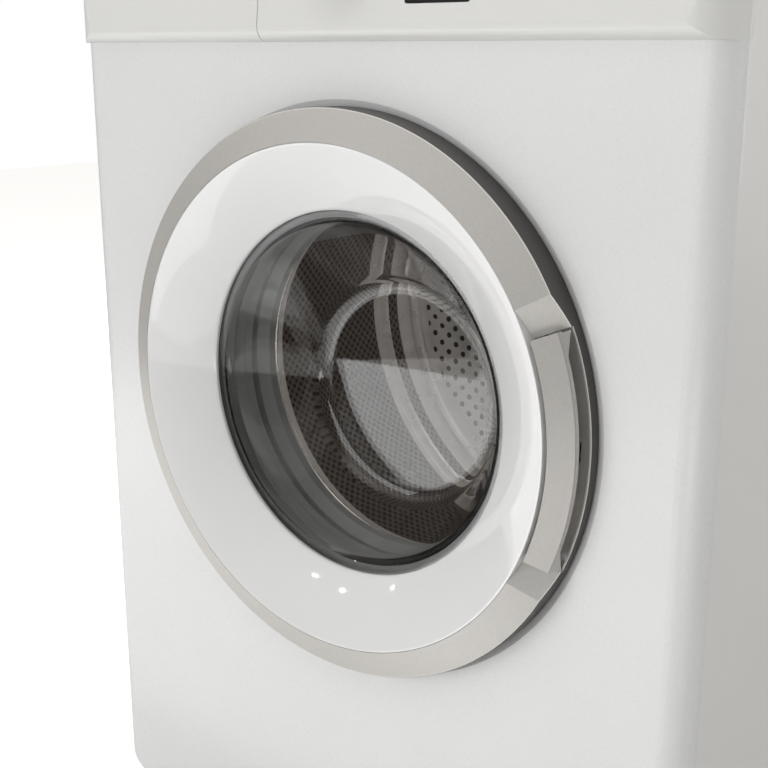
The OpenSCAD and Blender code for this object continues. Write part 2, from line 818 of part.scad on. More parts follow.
module dispenser_housing() {
    d0 = frame_d + fascia_t;
    color(grey) difference() {
        union() {
            box(housing_x0, housing_x1, d0, housing_d1, housing_z0, housing_z1);
            bar_z(outlet[0], outlet[1], housing_z0 - 14, housing_z0 + 1, outlet_r);
            bar_y(fill_x, fill_z, housing_d1 - 1, housing_d1 + 12, spigot_r);
        }
        box(housing_x0 + tray_t, housing_x1 - tray_t, d0 - 1, housing_d1 - tray_t, housing_z0 + tray_t,
            housing_z1 - tray_t);
        bar_z(outlet[0], outlet[1], housing_z0 - 15, housing_z0 + 4, outlet_r - 3);
        bar_y(fill_x, fill_z, housing_d1 - 5, housing_d1 + 13, spigot_r - 2.5);
    }
}

// Ribbed hose from the dispenser down to the tub
module dispenser_hose() {
    top = housing_z0 - 2;
    low = hose_low + 22;
    ribs = floor((top - low) / 6);
    color(dark) difference() {
        union() {
            bar_z(outlet[0], outlet[1], low, top, 19);
            for (i = [0:ribs - 1]) bar_z(outlet[0], outlet[1], low + 3 + i * 6, low + 6 + i * 6, 22);
        }
        bar_z(outlet[0], outlet[1], hose_low, top + 1, outlet_r + side_gap);
    }
}

module fill_hose() {
    bend = 18;
    d_mid = body_d - 90;
    hose_r = spigot_r + 2.5;
    color(dark) {
        difference() {
            bar_y(fill_x, fill_z, housing_d1 + 1, d_mid - bend, hose_r);
            bar_y(fill_x, fill_z, housing_d1, d_mid, spigot_r + side_gap);
        }
        translate([fill_x + bend, front_y + d_mid - bend, fill_z]) rotate([0, 0, 90])
            rotate_extrude(angle = 90) translate([bend, 0]) circle(hose_r);
        difference() {
            bar_x(d_mid, fill_z, fill_x + bend, valve_x - bend, hose_r);
            bar_x(d_mid, fill_z, fill_x + bend + 2, valve_x - bend - 2, spigot_r - 1);
        }
        translate([valve_x - bend, front_y + d_mid + bend, fill_z]) rotate([0, 0, -90])
            rotate_extrude(angle = 90) translate([bend, 0]) circle(hose_r);
        difference() {
            bar_y(valve_x, fill_z, d_mid + bend, body_d - 46, hose_r);
            bar_y(valve_x, fill_z, d_mid + bend + 2, body_d - 45, spigot_r + side_gap);
        }
    }
}

module inlet_valve() {
    color(white) difference() {
        union() {
            bar_y(valve_x, valve_z, body_d, body_d + rear_out, valve_r);
            bar_y(valve_x, valve_z, body_d - 2, body_d + shoulder, valve_r + shoulder);
            bar_y(valve_x, valve_z, body_d - 34, body_d - sheet, 18);
            box(valve_x - 14, valve_x + 14, body_d - 44, body_d - 14, fill_z - 12, valve_z);
            bar_y(valve_x, fill_z, body_d - 62, body_d - 43, spigot_r);
            box(valve_x - 20, valve_x + 20, body_d - 36, body_d - 10, valve_z - 2, valve_z + 20);
        }
        bar_y(valve_x, valve_z, body_d - 8, body_d + rear_out + 1, 9.5);
        bar_y(valve_x, fill_z, body_d - 63, body_d - 40, spigot_r - 2.5);
    }
}

module mains_gland() {
    color(dark) difference() {
        union() {
            bar_y(gland_x, gland_z, body_d, body_d + 4, 13);
            bar_y(gland_x, gland_z, body_d - 12, body_d, gland_r);
            box(gland_x - 20, gland_x + 20, body_d - 52, body_d - 12, gland_z - 24, gland_z + 20);
        }
        bar_y(gland_x, gland_z, body_d - 11, body_d + 5, 4.5);
    }
}

// Door

module door_ring() {
    lift = 0.2;
    inner = crest_r + 0.2;
    pocket_half = handle_half + 0.2;
    bevel_half = pocket_half + 6.4;
    block_half = bevel_half + 1.6;
    mid = ring_t / 2;
    color(silver) difference() {
        union() {
            revolve() polygon([
                [inner, cone_d(inner) + lift], [ring_r - 0.6, cone_d(ring_r - 0.6) + lift],
                [ring_r, cone_d(ring_r) + lift + 0.6], [ring_r, ring_back], [ring_r - ring_t, ring_back],
                [ring_r - ring_t, cone_d(ring_r - ring_t) + lift + ring_t],
                [inner + ring_t, cone_d(inner + ring_t) + lift + ring_t],
                [inner + ring_t, -6], [inner, -6]]);
            revolve(block_half) polygon([
                [inner + mid, cone_d(inner + mid) + lift + mid],
                [ring_r - mid, cone_d(ring_r - mid) + lift + mid],
                [ring_r - mid, 0], [inner + mid, 0]]);
        }
        revolve(pocket_half) polygon([
            [crest_r - 1, -crest_out - 5], [ring_r + 1, -crest_out - 5], [ring_r + 1, pocket_lip],
            [ring_r - 1.8, pocket_lip], [ring_r - 2.4, pocket_floor], [crest_r - 1, pocket_floor]]);
        for (s = [-1, 1]) bevel(s, pocket_half, bevel_half);
        door_box(hook_x - 1.5, hook_x + 13.5, pocket_floor - 1, 1, 7.5);
        door_box(-ring_r - 1, -ring_r + 19, -17.3, ring_back + 1, 30);
    }
    color(silver) for (s = [-1, 1]) difference() {
        door_box_at(lever_x - 3.2, lever_x + 3.5, lever_d - 3, pocket_floor + 1, s * lug_z, 3);
        bar_z(lever_x, lever_d, door_z + s * lug_z - 4, door_z + s * lug_z + 4, lever_r + run_gap);
    }
}

// A door box whose middle lies above or below the axis
module door_box_at(x0, x1, d0, d1, z, half) {
    box(x0, x1, d0, d1, door_z + z - half, door_z + z + half);
}

// Sloping facet that leads from the ring's face down into the handle pocket
module bevel(s, a0, a1) {
    function at(r, a, d) = [r * cos(a), front_y + d, door_z + s * r * sin(a)];
    front = -crest_out - 8;
    low = [at(crest_r - 1, a0 - 1.2, -19.2), at(ring_r + 1, a0 - 1.2, -6.8),
           at(ring_r + 1, a1, cone_d(ring_r + 1)), at(crest_r - 1, a1, cone_d(crest_r - 1))];
    high = [for (p = low) [p[0], front_y + front, p[2]]];
    hull() polyhedron(concat(low, high),
        [[0, 1, 2, 3], [7, 6, 5, 4], [0, 4, 5, 1], [1, 5, 6, 2], [2, 6, 7, 3], [3, 7, 4, 0]]);
}

module door_inner_ring() {
    rs = span(crest_r, glass_r, 16);
    back = span(glass_r + 5.5, crest_r - ring_t, 14);
    color(white) revolve() polygon(concat(
        [for (r = rs) [r, white_d(r)]],
        [[glass_r, flange_d], [glass_r + 5.5, flange_d]],
        [for (r = back) [r, white_d(r) + ring_t]],
        [[crest_r - ring_t, -6], [crest_r, -6]]));
}

// Thin disc used to loft the glass bowl
module bowl_disc(r, d, drop) {
    bar_y(0, door_z - drop, d, d + 0.01, r);
}
module door_glass() {
    back = flange_d + glass_t;
    color(glass) difference() {
        union() {
            bar_y(0, door_z, flange_d, back, flange_r);
            hull() {
                bowl_disc(glass_r - 8, back - 0.5, 0);
                bowl_disc(99, bowl_d - 9, bowl_drop);
                bowl_disc(90, bowl_d, bowl_drop);
            }
        }
        hull() {
            bowl_disc(glass_r - 8 - glass_t * 1.3, flange_d - 0.1, 0);
            bowl_disc(99 - glass_t * 1.3, bowl_d - 9 - glass_t, bowl_drop);
            bowl_disc(90 - glass_t, bowl_d - glass_t, bowl_drop);
        }
    }
}

module door_back_frame() {
    glass_back = flange_d + glass_t + side_gap;
    color(white) difference() {
        revolve() polygon([
            [glass_r - 5, glass_back], [flange_r + 0.3, glass_back], [flange_r + 0.3, flange_d],
            [crest_r - ring_t, flange_d], [crest_r - ring_t, -6], [crest_r + 0.2 + ring_t, -6],
            [crest_r + 0.2 + ring_t, 0], [ring_r - ring_t - 3, 0], [ring_r - ring_t - 3, -8],
            [ring_r - ring_t - 0.3, -8], [ring_r - ring_t - 0.3, 1.5], [ring_r - 7, 3.5],
            [ring_r - 18, 9], [ring_r - 33, 14], [flange_r + 7, 17], [glass_r - 5, 17]]);
        revolve(32.5) polygon([
            [crest_r - ring_t - 1, -12], [ring_r, -12], [ring_r, 0], [crest_r - ring_t - 1, 0]]);
        door_box(hook_x - 10, hook_x + 14.5, -2, 20, 7.5);
        door_box(-ring_r, -ring_r + 42, -10, 20, 34.5);
        door_box(-ring_r + 18, -ring_r + 34, -10, 1, 21);
    }
    color(white) bar_z(hook_x, hook_d, door_z - 7.5, door_z + 7.5, 2);
}

module handle_bar() {
    inner = crest_r + 2.6;
    outer = ring_r - 4;
    lift = 0.2;
    color(silver) difference() {
        union() {
            revolve(handle_half) polygon([
                [inner, cone_d(inner) + lift + 0.5], [inner + 0.5, cone_d(inner + 0.5) + lift],
                [outer - 0.5, cone_d(outer - 0.5) + lift], [outer, cone_d(outer) + lift + 0.6],
                [outer, -17], [outer - 6, -15.5], [outer - 12, -13], [inner, -13]]);
            door_box(lever_x - 3, lever_x + 1, lever_d + 4, -1.5, 5);
        }
        bar_z(lever_x, lever_d, door_z - 60, door_z + 60, lever_r + run_gap);
        for (s = [-1, 1]) door_box_at(lever_x - 12, lever_x + 5.5, lever_d - 4, 0, s * lug_z, 3.6);
        door_box_at(lever_x - 12, lever_x + 6, lever_d - 4.8, 0, 22, 7.5);
    }
}

module handle_pin() {
    color(steel) bar_z(lever_x, lever_d, door_z - 42, door_z + 42, lever_r);
}

// Torsion spring on the handle pin
module handle_spring() {
    color(steel) {
        translate([lever_x, front_y + lever_d, door_z + 16.5]) coil(3, 0.45, 1.5, 7);
        rod([lever_x + 3, lever_d, door_z + 16.5], [lever_x + 3, pocket_floor, door_z + 16.5], 0.45);
    }
}

module latch_hook() {
    x = hook_x;
    d = hook_d;
    color(steel) upward(door_z - 5.5, door_z + 5.5) difference() {
        union() {
            translate([x, d]) circle(4.5);
            polygon([[x + 5.6, d - 12.5], [x + 9, d - 12.5], [x + 9.4, d - 6], [x + 4.4, d + 1],
                [x + 2.5, d + 18.5], [x + 7, d + 21], [x + 7, d + 22.5], [x + 1, d + 25],
                [x - 2.5, d + 25], [x - 4.4, d + 1], [x - 2, d - 4], [x + 5.6, d - 7]]);
        }
        translate([x, d]) circle(2 + run_gap);
    }
}

module hinge_arm() {
    x = pivot_x;
    d = pivot_d;
    color(steel) upward(door_z - arm_half, door_z + arm_half) difference() {
        union() {
            translate([x, d]) circle(6);
            polygon([[x + 5, d - 3.3], [x + 13, 0], [x + 53, 0], [x + 53, flange_d], [x + 10, flange_d],
                [x - 2, d + 5.6]]);
        }
        translate([x, d]) circle(pin_r + run_gap);
    }
}

module hinge_bracket() {
    x = pivot_x;
    d = pivot_d;
    color(steel) {
        for (s = [-1, 1]) {
            z0 = s > 0 ? door_z + ear_in : door_z - ear_in - ear_t;
            upward(z0, z0 + ear_t) difference() {
                union() {
                    translate([x, d]) circle(6);
                    polygon([[x + 3, d - 5.2], [x + 8, d - 3], [x + 30, seat_d - 3], [x + 8, seat_d - 3],
                        [x + 1.5, d + 5.8]]);
                }
                translate([x, d]) circle(pin_r + run_gap);
            }
        }
        door_box(x + 5, x + 39, seat_d - 3, seat_d, 33);
    }
}

module hinge_pin() {
    color(steel) {
        bar_z(pivot_x, pivot_d, door_z - 27, door_z + 27, pin_r);
    }
}

module door_lock() {
    x = hook_x;
    d0 = seat_d + sheet;
    color(dark) difference() {
        door_box(x - 20, x + 18, d0, d0 + 26, 24);
        door_box(x - 9.5, x + 10.9, d0 - 1, d0 + 16, 9);
        revolve() translate([0, d0 - 1]) square([mouth_r + 8, 40]);
    }
}

// Washing group

module gasket() {
    m = mouth_r;
    c = recess_d + 10;
    color(grey) revolve() polygon([
        [m - 9, 20], [m - 6, 18], [m - 0.2, 18], [m - 0.2, c + 0.2], [m + sheet + 0.3, c + 0.2],
        [m + sheet + 0.3, recess_d + 3], [m + 7, recess_d + 3], [m + 7, c + 4], [m, c + 6.5], [m, c + 9],
        [m + 20, c + 15], [m + 20, c + 21], [m + 8, c + 26], [m + 19.4, 66], [m + 19.4, 84],
        [m + 16.3, 84], [m + 16.3, 69.5], [m + 6, 66], [m - 4, 74], [m - 6.5, 74], [m - 6.5, 66],
        [m, 57], [m + 16, 53], [m + 16, 51.5], [m - 4, 46], [m - 4, 38], [m - 5.5, c], [m - 5.5, 24]]);
}

module tub_front() {
    t = 4;
    color(pale) revolve() polygon([
        [collar_r - 3.5, 71], [collar_r, 71], [collar_r, tub_front_d], [tub_r + tub_t, tub_front_d],
        [tub_r + tub_t, tub_joint_d - t], [tub_r + tub_t + rim_w, tub_joint_d - t],
        [tub_r + tub_t + rim_w, tub_joint_d], [tub_r, tub_joint_d], [tub_r, tub_front_d + t],
        [collar_r - 3.5, tub_front_d + t]]);
}

module tub_rear() {
    t = 5;
    ribs = 12;
    color(pale) difference() {
        union() {
            revolve() polygon([
                [tub_r, tub_joint_d], [tub_r + tub_t + rim_w, tub_joint_d],
                [tub_r + tub_t + rim_w, tub_joint_d + 4], [tub_r + tub_t, tub_joint_d + 4],
                [tub_r + tub_t, tub_back_d + t], [46, tub_back_d + t], [46, hub_end_d], [20, hub_end_d],
                [20, tub_back_d], [tub_r, tub_back_d]]);
            for (i = [0:ribs - 1]) translate([0, front_y, door_z]) rotate([0, i * 360 / ribs, 0])
                translate([44, tub_back_d + t - 1, -2]) cube([tub_r - 44, 17, 4]);
            bar_z(outlet[0], outlet[1], hose_low - 10, hose_low + 32, outlet_r);
            rod(sump - 8 * sump_line, sump + 22 * sump_line, sump_r);
            for (s = [-1, 1]) tub_lug(s);
            motor_mount();
        }
        bar_z(outlet[0], outlet[1], hose_low - 30, hose_low + 33, outlet_r - 4);
        rod(sump - 20 * sump_line, sump + 23 * sump_line, sump_bore);
        revolve() translate([0, tub_joint_d - 1]) square([tub_r, tub_back_d - tub_joint_d + 1]);
        revolve() translate([0, tub_back_d - 1]) square([31.1, 7]);
        bar_y(0, door_z, tub_back_d - 1, tub_back_d + 22, 31 + run_gap);
        bar_y(0, door_z, tub_back_d + 28, hub_end_d + 1, 26 + run_gap);
    }
}

// Lugs for the spring and the damper on one side of the tub
module tub_lug(s) {
    box(s * spring_low[0] - 10, s * spring_low[0] + 10, spring_d - 8, spring_d + 8, door_z + 150,
        spring_low[2] - 3);
    for (d = [-14, 9]) box(s * damper_high[0] - 10, s * damper_high[0] + 10, damper_d + d, damper_d + d + 5,
        damper_high[2] - 10, door_z - 215);
    bar_y(s * damper_high[0], damper_high[2], damper_d - 13, damper_d + 13, damper_eye);
}

// Two arms that carry the motor below the tub
module motor_mount() {
    for (d = [motor_d0 - 5, motor_d0 + 48])
        box(motor_x - 12, motor_x + 12, d, d + 10, motor_z + 60, door_z - 225);
}

module heater() {
    color(steel) {
        for (s = [-1, 1]) bar_y(s * 34, door_z - drum_r - 8, 120, tub_back_d, 3.5);
        bar_x(120, door_z - drum_r - 8, -37.5, 37.5, 3.5);
    }
}

// Outline of the drum's wall from its bead to the edge of the back, with the back a little deeper by grow
function drum_wall(r, grow) = let (d = drum_back_d - sheet + grow, c = 14, bead = 4, wide = 9)
    concat(
        [for (a = [0:30:180]) [r + bead * sin(a), drum_back_d - 52 - wide * cos(a)]],
        [for (a = [0:15:90]) [r - c + c * cos(a), d - c + c * sin(a)]]);

module drum() {
    r = drum_r;
    d0 = drum_front_d;
    d1 = drum_back_d;
    lip = mouth_r - 4.5;
    inside = drum_wall(r - sheet, 0);
    color(steel) revolve() polygon(concat(
        [[lip, 77.5], [lip + 1, 76.5], [lip + 3.5, 77.5], [lip + 4, 88], [lip + 10, d0], [r - 7, d0],
            [r, d0 + 7]],
        drum_wall(r, sheet),
        [[31, d1], [31, d1 - sheet]],
        [for (i = [1:len(inside)]) inside[len(inside) - i]],
        [[r - 1, d0 + 7.4], [r - 7.4, d0 + 1], [lip + 9.5, d0 + 1], [lip + 3, 88.5], [lip + 2.6, 78.5],
            [lip, 78.5]]));
}

module drum_lifters() {
    d0 = drum_front_d + 22;
    d1 = drum_back_d - 22;
    color(pale) for (a = [90, 210, 330]) translate([0, front_y, door_z]) rotate([0, a, 0])
        intersection() {
            hull() {
                translate([drum_r - 14, d0, -26]) cube([14, d1 - d0, 52]);
                for (z = [-8, 8]) translate([drum_r - 42, d0 + 24, z]) rotate([-90, 0, 0])
                    cylinder(h = d1 - d0 - 48, r = 5, $fn = 24);
            }
            translate([0, d0, 0]) rotate([-90, 0, 0]) cylinder(h = d1 - d0, r = drum_r - 1.3, $fn = fn_big);
        }
}

module drum_spider() {
    d = drum_back_d;
    color([0.75, 0.76, 0.77]) {
        for (a = [30, 150, 270]) translate([0, front_y, door_z]) rotate([0, a, 0])
            translate([20, d, -11]) cube([drum_r - 32, 10, 22]);
        bar_y(0, door_z, d, d + 12, 30);
        bar_y(0, door_z, d + 11, tub_back_d + 27, shaft_r);
        bar_y(0, door_z, tub_back_d + 26, shaft_end_d, shaft_r - 2.5);
    }
}

module drum_bearings() {
    d = tub_back_d;
    color(steel) {
        bearing(d + 6, d + 22, 31, shaft_r + run_gap);
        bearing(d + 28, d + 43, 26, shaft_r - 2.5 + run_gap);
    }
}
module bearing(d0, d1, ro, ri) {
    w = (ro - ri) * 0.28;
    revolve() {
        difference() {
            translate([ri, d0]) square([ro - ri, d1 - d0]);
            translate([ri + w, d0 - 1]) square([ro - ri - 2 * w, 3]);
            translate([ri + w, d1 - 2]) square([ro - ri - 2 * w, 3]);
        }
    }
}

module drum_pulley() {
    spokes = 6;
    r = pulley_r;
    d = pulley_d;
    color(silver) {
        revolve() polygon([
            [r - 8, d], [r, d], [r, d + 3], [r - 1.5, d + 4], [r - 1.5, d + pulley_w - 4],
            [r, d + pulley_w - 3], [r, d + pulley_w], [r - 8, d + pulley_w]]);
        for (i = [0:spokes - 1]) translate([0, front_y, door_z]) rotate([0, i * 360 / spokes, 0])
            translate([22, d + 4, -7]) cube([r - 29, 8, 14]);
        revolve() translate([shaft_r - 2.5, d]) square([24 - shaft_r + 2.5, pulley_w]);
    }
}

// Outline of the belt round both pulleys
module belt_line(grow) {
    hull() {
        translate([0, door_z]) circle(pulley_r - 1.5 + side_gap + grow, $fn = 96);
        translate([motor_x, motor_z]) circle(motor_pulley_r + side_gap + grow, $fn = 96);
    }
}
module drive_belt() {
    color(dark) backward(pulley_d + 4.5, pulley_d + pulley_w - 4.5) difference() {
        belt_line(belt_t);
        belt_line(0);
    }
}

module motor() {
    d0 = motor_d0;
    d1 = motor_d1;
    color(grey) difference() {
        union() {
            bar_y(motor_x, motor_z, d0, d1, 58);
            for (d = [d0 + 5, d0 + 38])
                box(motor_x - 12, motor_x + 12, d, d + 10, motor_z + 50, motor_z + 78);
            bar_y(motor_x, motor_z, d0 - 6, d1 + 8, 22);
        }
        for (i = [0:11]) translate([motor_x, front_y + d1 + 1, motor_z]) rotate([90, i * 30, 0])
            translate([32, -4, 0]) cube([18, 8, 6]);
        bar_y(motor_x, motor_z, d0, d1 + 9, 6 + side_gap);
    }
}

module motor_pulley() {
    r = motor_pulley_r;
    d = pulley_d;
    color(steel) {
        bar_y(motor_x, motor_z, d, d + pulley_w, r);
        bar_y(motor_x, motor_z, d, d + 3, r + 2);
        bar_y(motor_x, motor_z, d + pulley_w - 3, d + pulley_w, r + 2);
        bar_y(motor_x, motor_z, motor_d0 + 10, d + 1, 6);
    }
}

module counterweight_front() {
    r0 = collar_r + 12;
    r1 = tub_r - 6;
    color([0.6, 0.6, 0.57]) difference() {
        revolve() translate([r0, tub_front_d - 30]) square([r1 - r0, 30]);
        box(-70, 70, 0, tub_front_d + 1, door_z + 100, door_z + tub_r);
        door_box(hook_x - 30, hook_x + 40, 0, 60, 32);
    }
}

module suspension_springs() {
    r = 10;
    w = 1.5;
    turns = 13;
    hook = 14;
    color(steel) for (s = [-1, 1]) {
        top = [s * spring_top[0], spring_d, spring_top[2] + 3];
        low = [s * spring_low[0], spring_d, spring_low[2] - 3];
        v = top - low;
        len = norm(v);
        translate([low[0], front_y + low[1], low[2]])
            rotate([0, acos(v[2] / len), atan2(v[1], v[0])]) {
                translate([0, 0, hook]) coil(r, w, (len - 2 * hook) / turns, turns);
                for (z = [hook, len - hook]) translate([0, 0, z]) rotate([0, 90, 0]) cylinder(h = r, r = w);
                translate([0, 0, w]) cylinder(h = hook - w, r = w);
                translate([0, 0, len - hook]) cylinder(h = hook - w, r = w);
            }
    }
}

module dampers() {
    color(grey) for (s = [-1, 1]) {
        low = [s * damper_low[0], damper_d, damper_low[2]];
        high = [s * damper_high[0], damper_d, damper_high[2]];
        v = (high - low) / norm(high - low);
        difference() {
            union() {
                rod(low + 18 * v, low + 92 * v, 13);
                rod(low + 4 * v, low + 20 * v, 4);
                bar_x(damper_d, damper_low[2], low[0] - 8, low[0] + 8, 9.5);
            }
            rod(low + 24 * v, low + 93 * v, 10);
            bar_x(damper_d, damper_low[2], low[0] - 13, low[0] + 13, damper_foot + side_gap);
        }
        difference() {
            union() {
                rod(low + 27 * v, high - 6 * v, 5);
                bar_y(high[0], high[2], damper_d - 8, damper_d + 8, 8);
            }
            bar_y(high[0], high[2], damper_d - 15, damper_d + 15, damper_eye + side_gap);
        }
    }
}

// Drain

module drain_pump() {
    hub = [pump_x, pump_d, pump_z];
    color(dark) difference() {
        union() {
            bar_y(pump_x, pump_z, 24, 150, 30);
            bar_y(pump_x, pump_z, 150, 185, 24);
            bar_x(120, pump_z, pump_x, drain_x - 18, spigot_r);
            for (d = pump_seats) box(pump_x - 22, pump_x + 22, d, d + 10, foot_gap + 14, pump_z - 20);
            rod(hub, hub - pump_stub * sump_line, sump_r);
        }
        bar_y(pump_x, pump_z, 20, pump_d, 26);
        bar_x(120, pump_z, pump_x + 10, drain_x, spigot_r - 2.5);
        rod(hub - 10 * sump_line, hub - (pump_stub + 1) * sump_line, sump_bore);
    }
}

module filter_cap() {
    color(grey) difference() {
        union() {
            bar_y(pump_x, pump_z, 15, 23.7, 29);
            bar_y(pump_x, pump_z, 23, 46, 25.5);
            box(pump_x - 20, pump_x + 20, 9, 16, pump_z - 4, pump_z + 4);
        }
        for (a = [0:20:340]) translate([pump_x, front_y + 14, pump_z]) rotate([0, a, 0])
            translate([29.6, 0, 0]) rotate([-90, 0, 0]) cylinder(h = 12, r = 1.6, $fn = 16);
        bar_y(pump_x, pump_z, 30, 47, 22);
    }
}

// Outlet hose to the rear, and the short hose that hangs from the sump to the pump
module drain_hose() {
    bend = 18;
    d0 = 120;
    from = sump + 8 * sump_line;
    to = [pump_x, pump_d, pump_z] - (pump_stub - 13) * sump_line;
    color(dark) {
        difference() {
            union() {
                bar_y(drain_x, pump_z, body_d, body_d + rear_out, drain_r);
                bar_y(drain_x, pump_z, d0 + bend, body_d + shoulder, drain_r + shoulder);
                translate([drain_x - bend, front_y + d0 + bend, pump_z]) rotate([0, 0, -90])
                    rotate_extrude(angle = 90) translate([bend, 0]) circle(drain_r + shoulder);
            }
            bar_y(drain_x, pump_z, d0 + bend, body_d + rear_out + 1, drain_r - 2.5);
        }
        difference() {
            rod(from, to, sump_r + 3);
            rod(from - sump_line, to + sump_line, sump_r + side_gap);
        }
    }
}

base_frame();
side_panel_left();
side_panel_right();
front_panel();
rear_panel();
rear_cover();
rear_screws();
top_cover();
top_board();
top_braces();
feet();
foot_nuts();
transit_plugs();
filter_flap();
filter_cap();
fascia();
display_window();
control_board();
programme_knob();
button_power();
button_start();
button_temperature();
button_spin();
drawer_front();
drawer_tray();
siphon_insert();
dispenser_housing();
dispenser_hose();
inlet_valve();
fill_hose();
mains_gland();
door_ring();
door_inner_ring();
door_glass();
door_back_frame();
handle_bar();
handle_pin();
handle_spring();
latch_hook();
hinge_arm();
hinge_bracket();
hinge_pin();
door_lock();
gasket();
tub_front();
tub_rear();
heater();
drum();
drum_lifters();
drum_spider();
drum_bearings();
drum_pulley();
drive_belt();
motor();
motor_pulley();
counterweight_front();
suspension_springs();
dampers();
drain_pump();
drain_hose();
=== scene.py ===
# %% [markdown]
# A front-loading washing machine, dressed for its portrait
#
# The construction is already made: every sheet, ring and bolt comes in at its real size and place. This
# lesson gives each of them its finish. It remakes in finer mesh the two pieces that light tests hardest,
# the glass bowl and the glossy white ring, and it adds the drum's bright lip and two facets of the handle.

# %% Load the construction
import math
import bmesh
import bpy
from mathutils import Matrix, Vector


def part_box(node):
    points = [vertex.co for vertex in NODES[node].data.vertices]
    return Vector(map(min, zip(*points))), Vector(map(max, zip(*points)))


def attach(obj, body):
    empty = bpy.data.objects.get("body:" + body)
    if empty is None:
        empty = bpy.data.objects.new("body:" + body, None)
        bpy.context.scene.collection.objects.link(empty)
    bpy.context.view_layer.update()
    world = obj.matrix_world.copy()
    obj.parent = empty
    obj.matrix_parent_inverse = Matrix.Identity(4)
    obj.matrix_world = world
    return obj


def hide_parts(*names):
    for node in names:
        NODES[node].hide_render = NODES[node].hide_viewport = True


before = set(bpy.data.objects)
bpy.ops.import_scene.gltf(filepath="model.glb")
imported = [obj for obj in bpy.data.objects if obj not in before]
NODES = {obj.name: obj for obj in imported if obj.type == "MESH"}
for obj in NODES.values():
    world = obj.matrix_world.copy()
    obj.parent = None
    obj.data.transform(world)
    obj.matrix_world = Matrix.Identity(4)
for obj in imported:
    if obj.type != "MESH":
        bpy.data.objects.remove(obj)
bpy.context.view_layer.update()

# %% [markdown]
# All depths on this machine are counted from the outer face of the front panel, and all door radii from the
# door's axis. Both can be read from the construction: the panel's box begins at that face, and the outer
# ring of the door is round. Measuring them here keeps every later size tied to the real pieces.

# %% Measure the door's axis and the front face
MM = 0.001
ring_low, ring_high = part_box("door_ring")
AXIS_Z = (ring_low.z + ring_high.z) / 2
RING_R = (ring_high.x - ring_low.x) / 2
FRONT_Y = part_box("front_panel")[0].y
crest = (FRONT_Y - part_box("door_inner_ring")[0].y) / MM


def at(x, depth, height):
    """A point in metres from millimetres across, behind the front face and above the door's axis."""
    return Vector((x * MM, FRONT_Y + depth * MM, AXIS_Z + height * MM))


print("axis at", round(AXIS_Z, 4), "front face at", round(FRONT_Y, 4), "crest", round(crest, 1))

# %% [markdown]
# The camera stands to the right of the door and a little above it, less than a metre away. That is close
# for such a large object, so the perspective is strong: the left of the door is clearly smaller than the
# right. The place was worked out from the ellipses that the door's rings make in the photograph.

# %% Place the camera
CAMERA_FROM_AXIS = (597.7, -696.5, 263.5)
LOOK_FROM_AXIS = (38.4, 1.0, 17.4)
LENS = 57.05
SENSOR_WIDTH = 36
CLIP_START = 0.01

camera_data = bpy.data.cameras.new("portrait_camera")
camera_data.lens = LENS
camera_data.sensor_width = SENSOR_WIDTH
camera_data.clip_start = CLIP_START
camera = bpy.data.objects.new("portrait_camera", camera_data)
bpy.context.collection.objects.link(camera)
camera.location = at(*CAMERA_FROM_AXIS)
aim = at(*LOOK_FROM_AXIS) - camera.location
camera.rotation_euler = aim.to_track_quat("-Z", "Y").to_euler()
bpy.context.scene.camera = camera
bpy.context.scene.view_settings.view_transform = "Standard"
print("camera at", [round(v, 3) for v in camera.location], "distance", round(aim.length, 3))

# %% [markdown]
# A finish needs three things to look real: a colour that isn't quite even, a roughness that isn't quite
# even, and a surface that isn't quite flat. Pictures could bring them, but every piece would have to be
# unwrapped first. Noise in the object's own coordinates needs no unwrapping and keeps the scale of the real
# material, so each finish here is a small graph of shader nodes. These helpers start one.

# %% Start a graph of shader nodes
def node_at(tree, kind, x, y, **values):
    """Adds a shader node at a place in the graph and sets its input values by name."""
    made = tree.nodes.new(kind)
    made.location = (x, y)
    for key, value in values.items():
        made.inputs[key].default_value = value
    return made


def feed(tree, socket, value):
    """Sets a socket to a number or a colour, or links another node's output to it."""
    if isinstance(value, (int, float)):
        socket.default_value = value
    elif isinstance(value, (tuple, list)):
        socket.default_value = (*value, 1)
    else:
        tree.links.new(value, socket)


def blank(name):
    """A new material with only its Principled shader, its output and the object's own coordinates."""
    material = bpy.data.materials.new(name)
    material.use_nodes = True
    tree = material.node_tree
    tree.nodes.clear()
    shader = node_at(tree, "ShaderNodeBsdfPrincipled", 300, 0)
    output = node_at(tree, "ShaderNodeOutputMaterial", 600, 0)
    tree.links.new(shader.outputs[0], output.inputs[0])
    place = node_at(tree, "ShaderNodeTexCoord", -1100, 0)
    return material, tree, shader, place.outputs["Object"]


print("a graph can be started")

# %% [markdown]
# Noise gives the unevenness. Most of its values lie near the middle, so they have to be spread out before
# they can steer a roughness or a colour. A plain mapping from one range to another is easier to read than a
# curve, and it serves every later step that needs a gradual change.

# %% Uneven values and colours
NOISE_LOW = 0.3
NOISE_HIGH = 0.7


def noise(tree, where, scale, x, y, detail=3.0, stretch=(1, 1, 1)):
    """Noise of so many waves a metre, drawn out along an axis where stretch is small."""
    squeeze = node_at(tree, "ShaderNodeMapping", x - 200, y, Scale=stretch)
    tree.links.new(where, squeeze.inputs["Vector"])
    made = node_at(tree, "ShaderNodeTexNoise", x, y, Scale=scale, Detail=detail)
    tree.links.new(squeeze.outputs[0], made.inputs["Vector"])
    return made.outputs["Fac"]


def ramp(tree, value, points, x, y, smooth=False):
    """Maps a value from one range to another; points are from low, from high, to low and to high."""
    made = node_at(tree, "ShaderNodeMapRange", x, y)
    if smooth:
        made.interpolation_type = "SMOOTHSTEP"
    for key, number in zip(("From Min", "From Max", "To Min", "To Max"), points):
        made.inputs[key].default_value = number
    tree.links.new(value, made.inputs["Value"])
    return made.outputs[0]


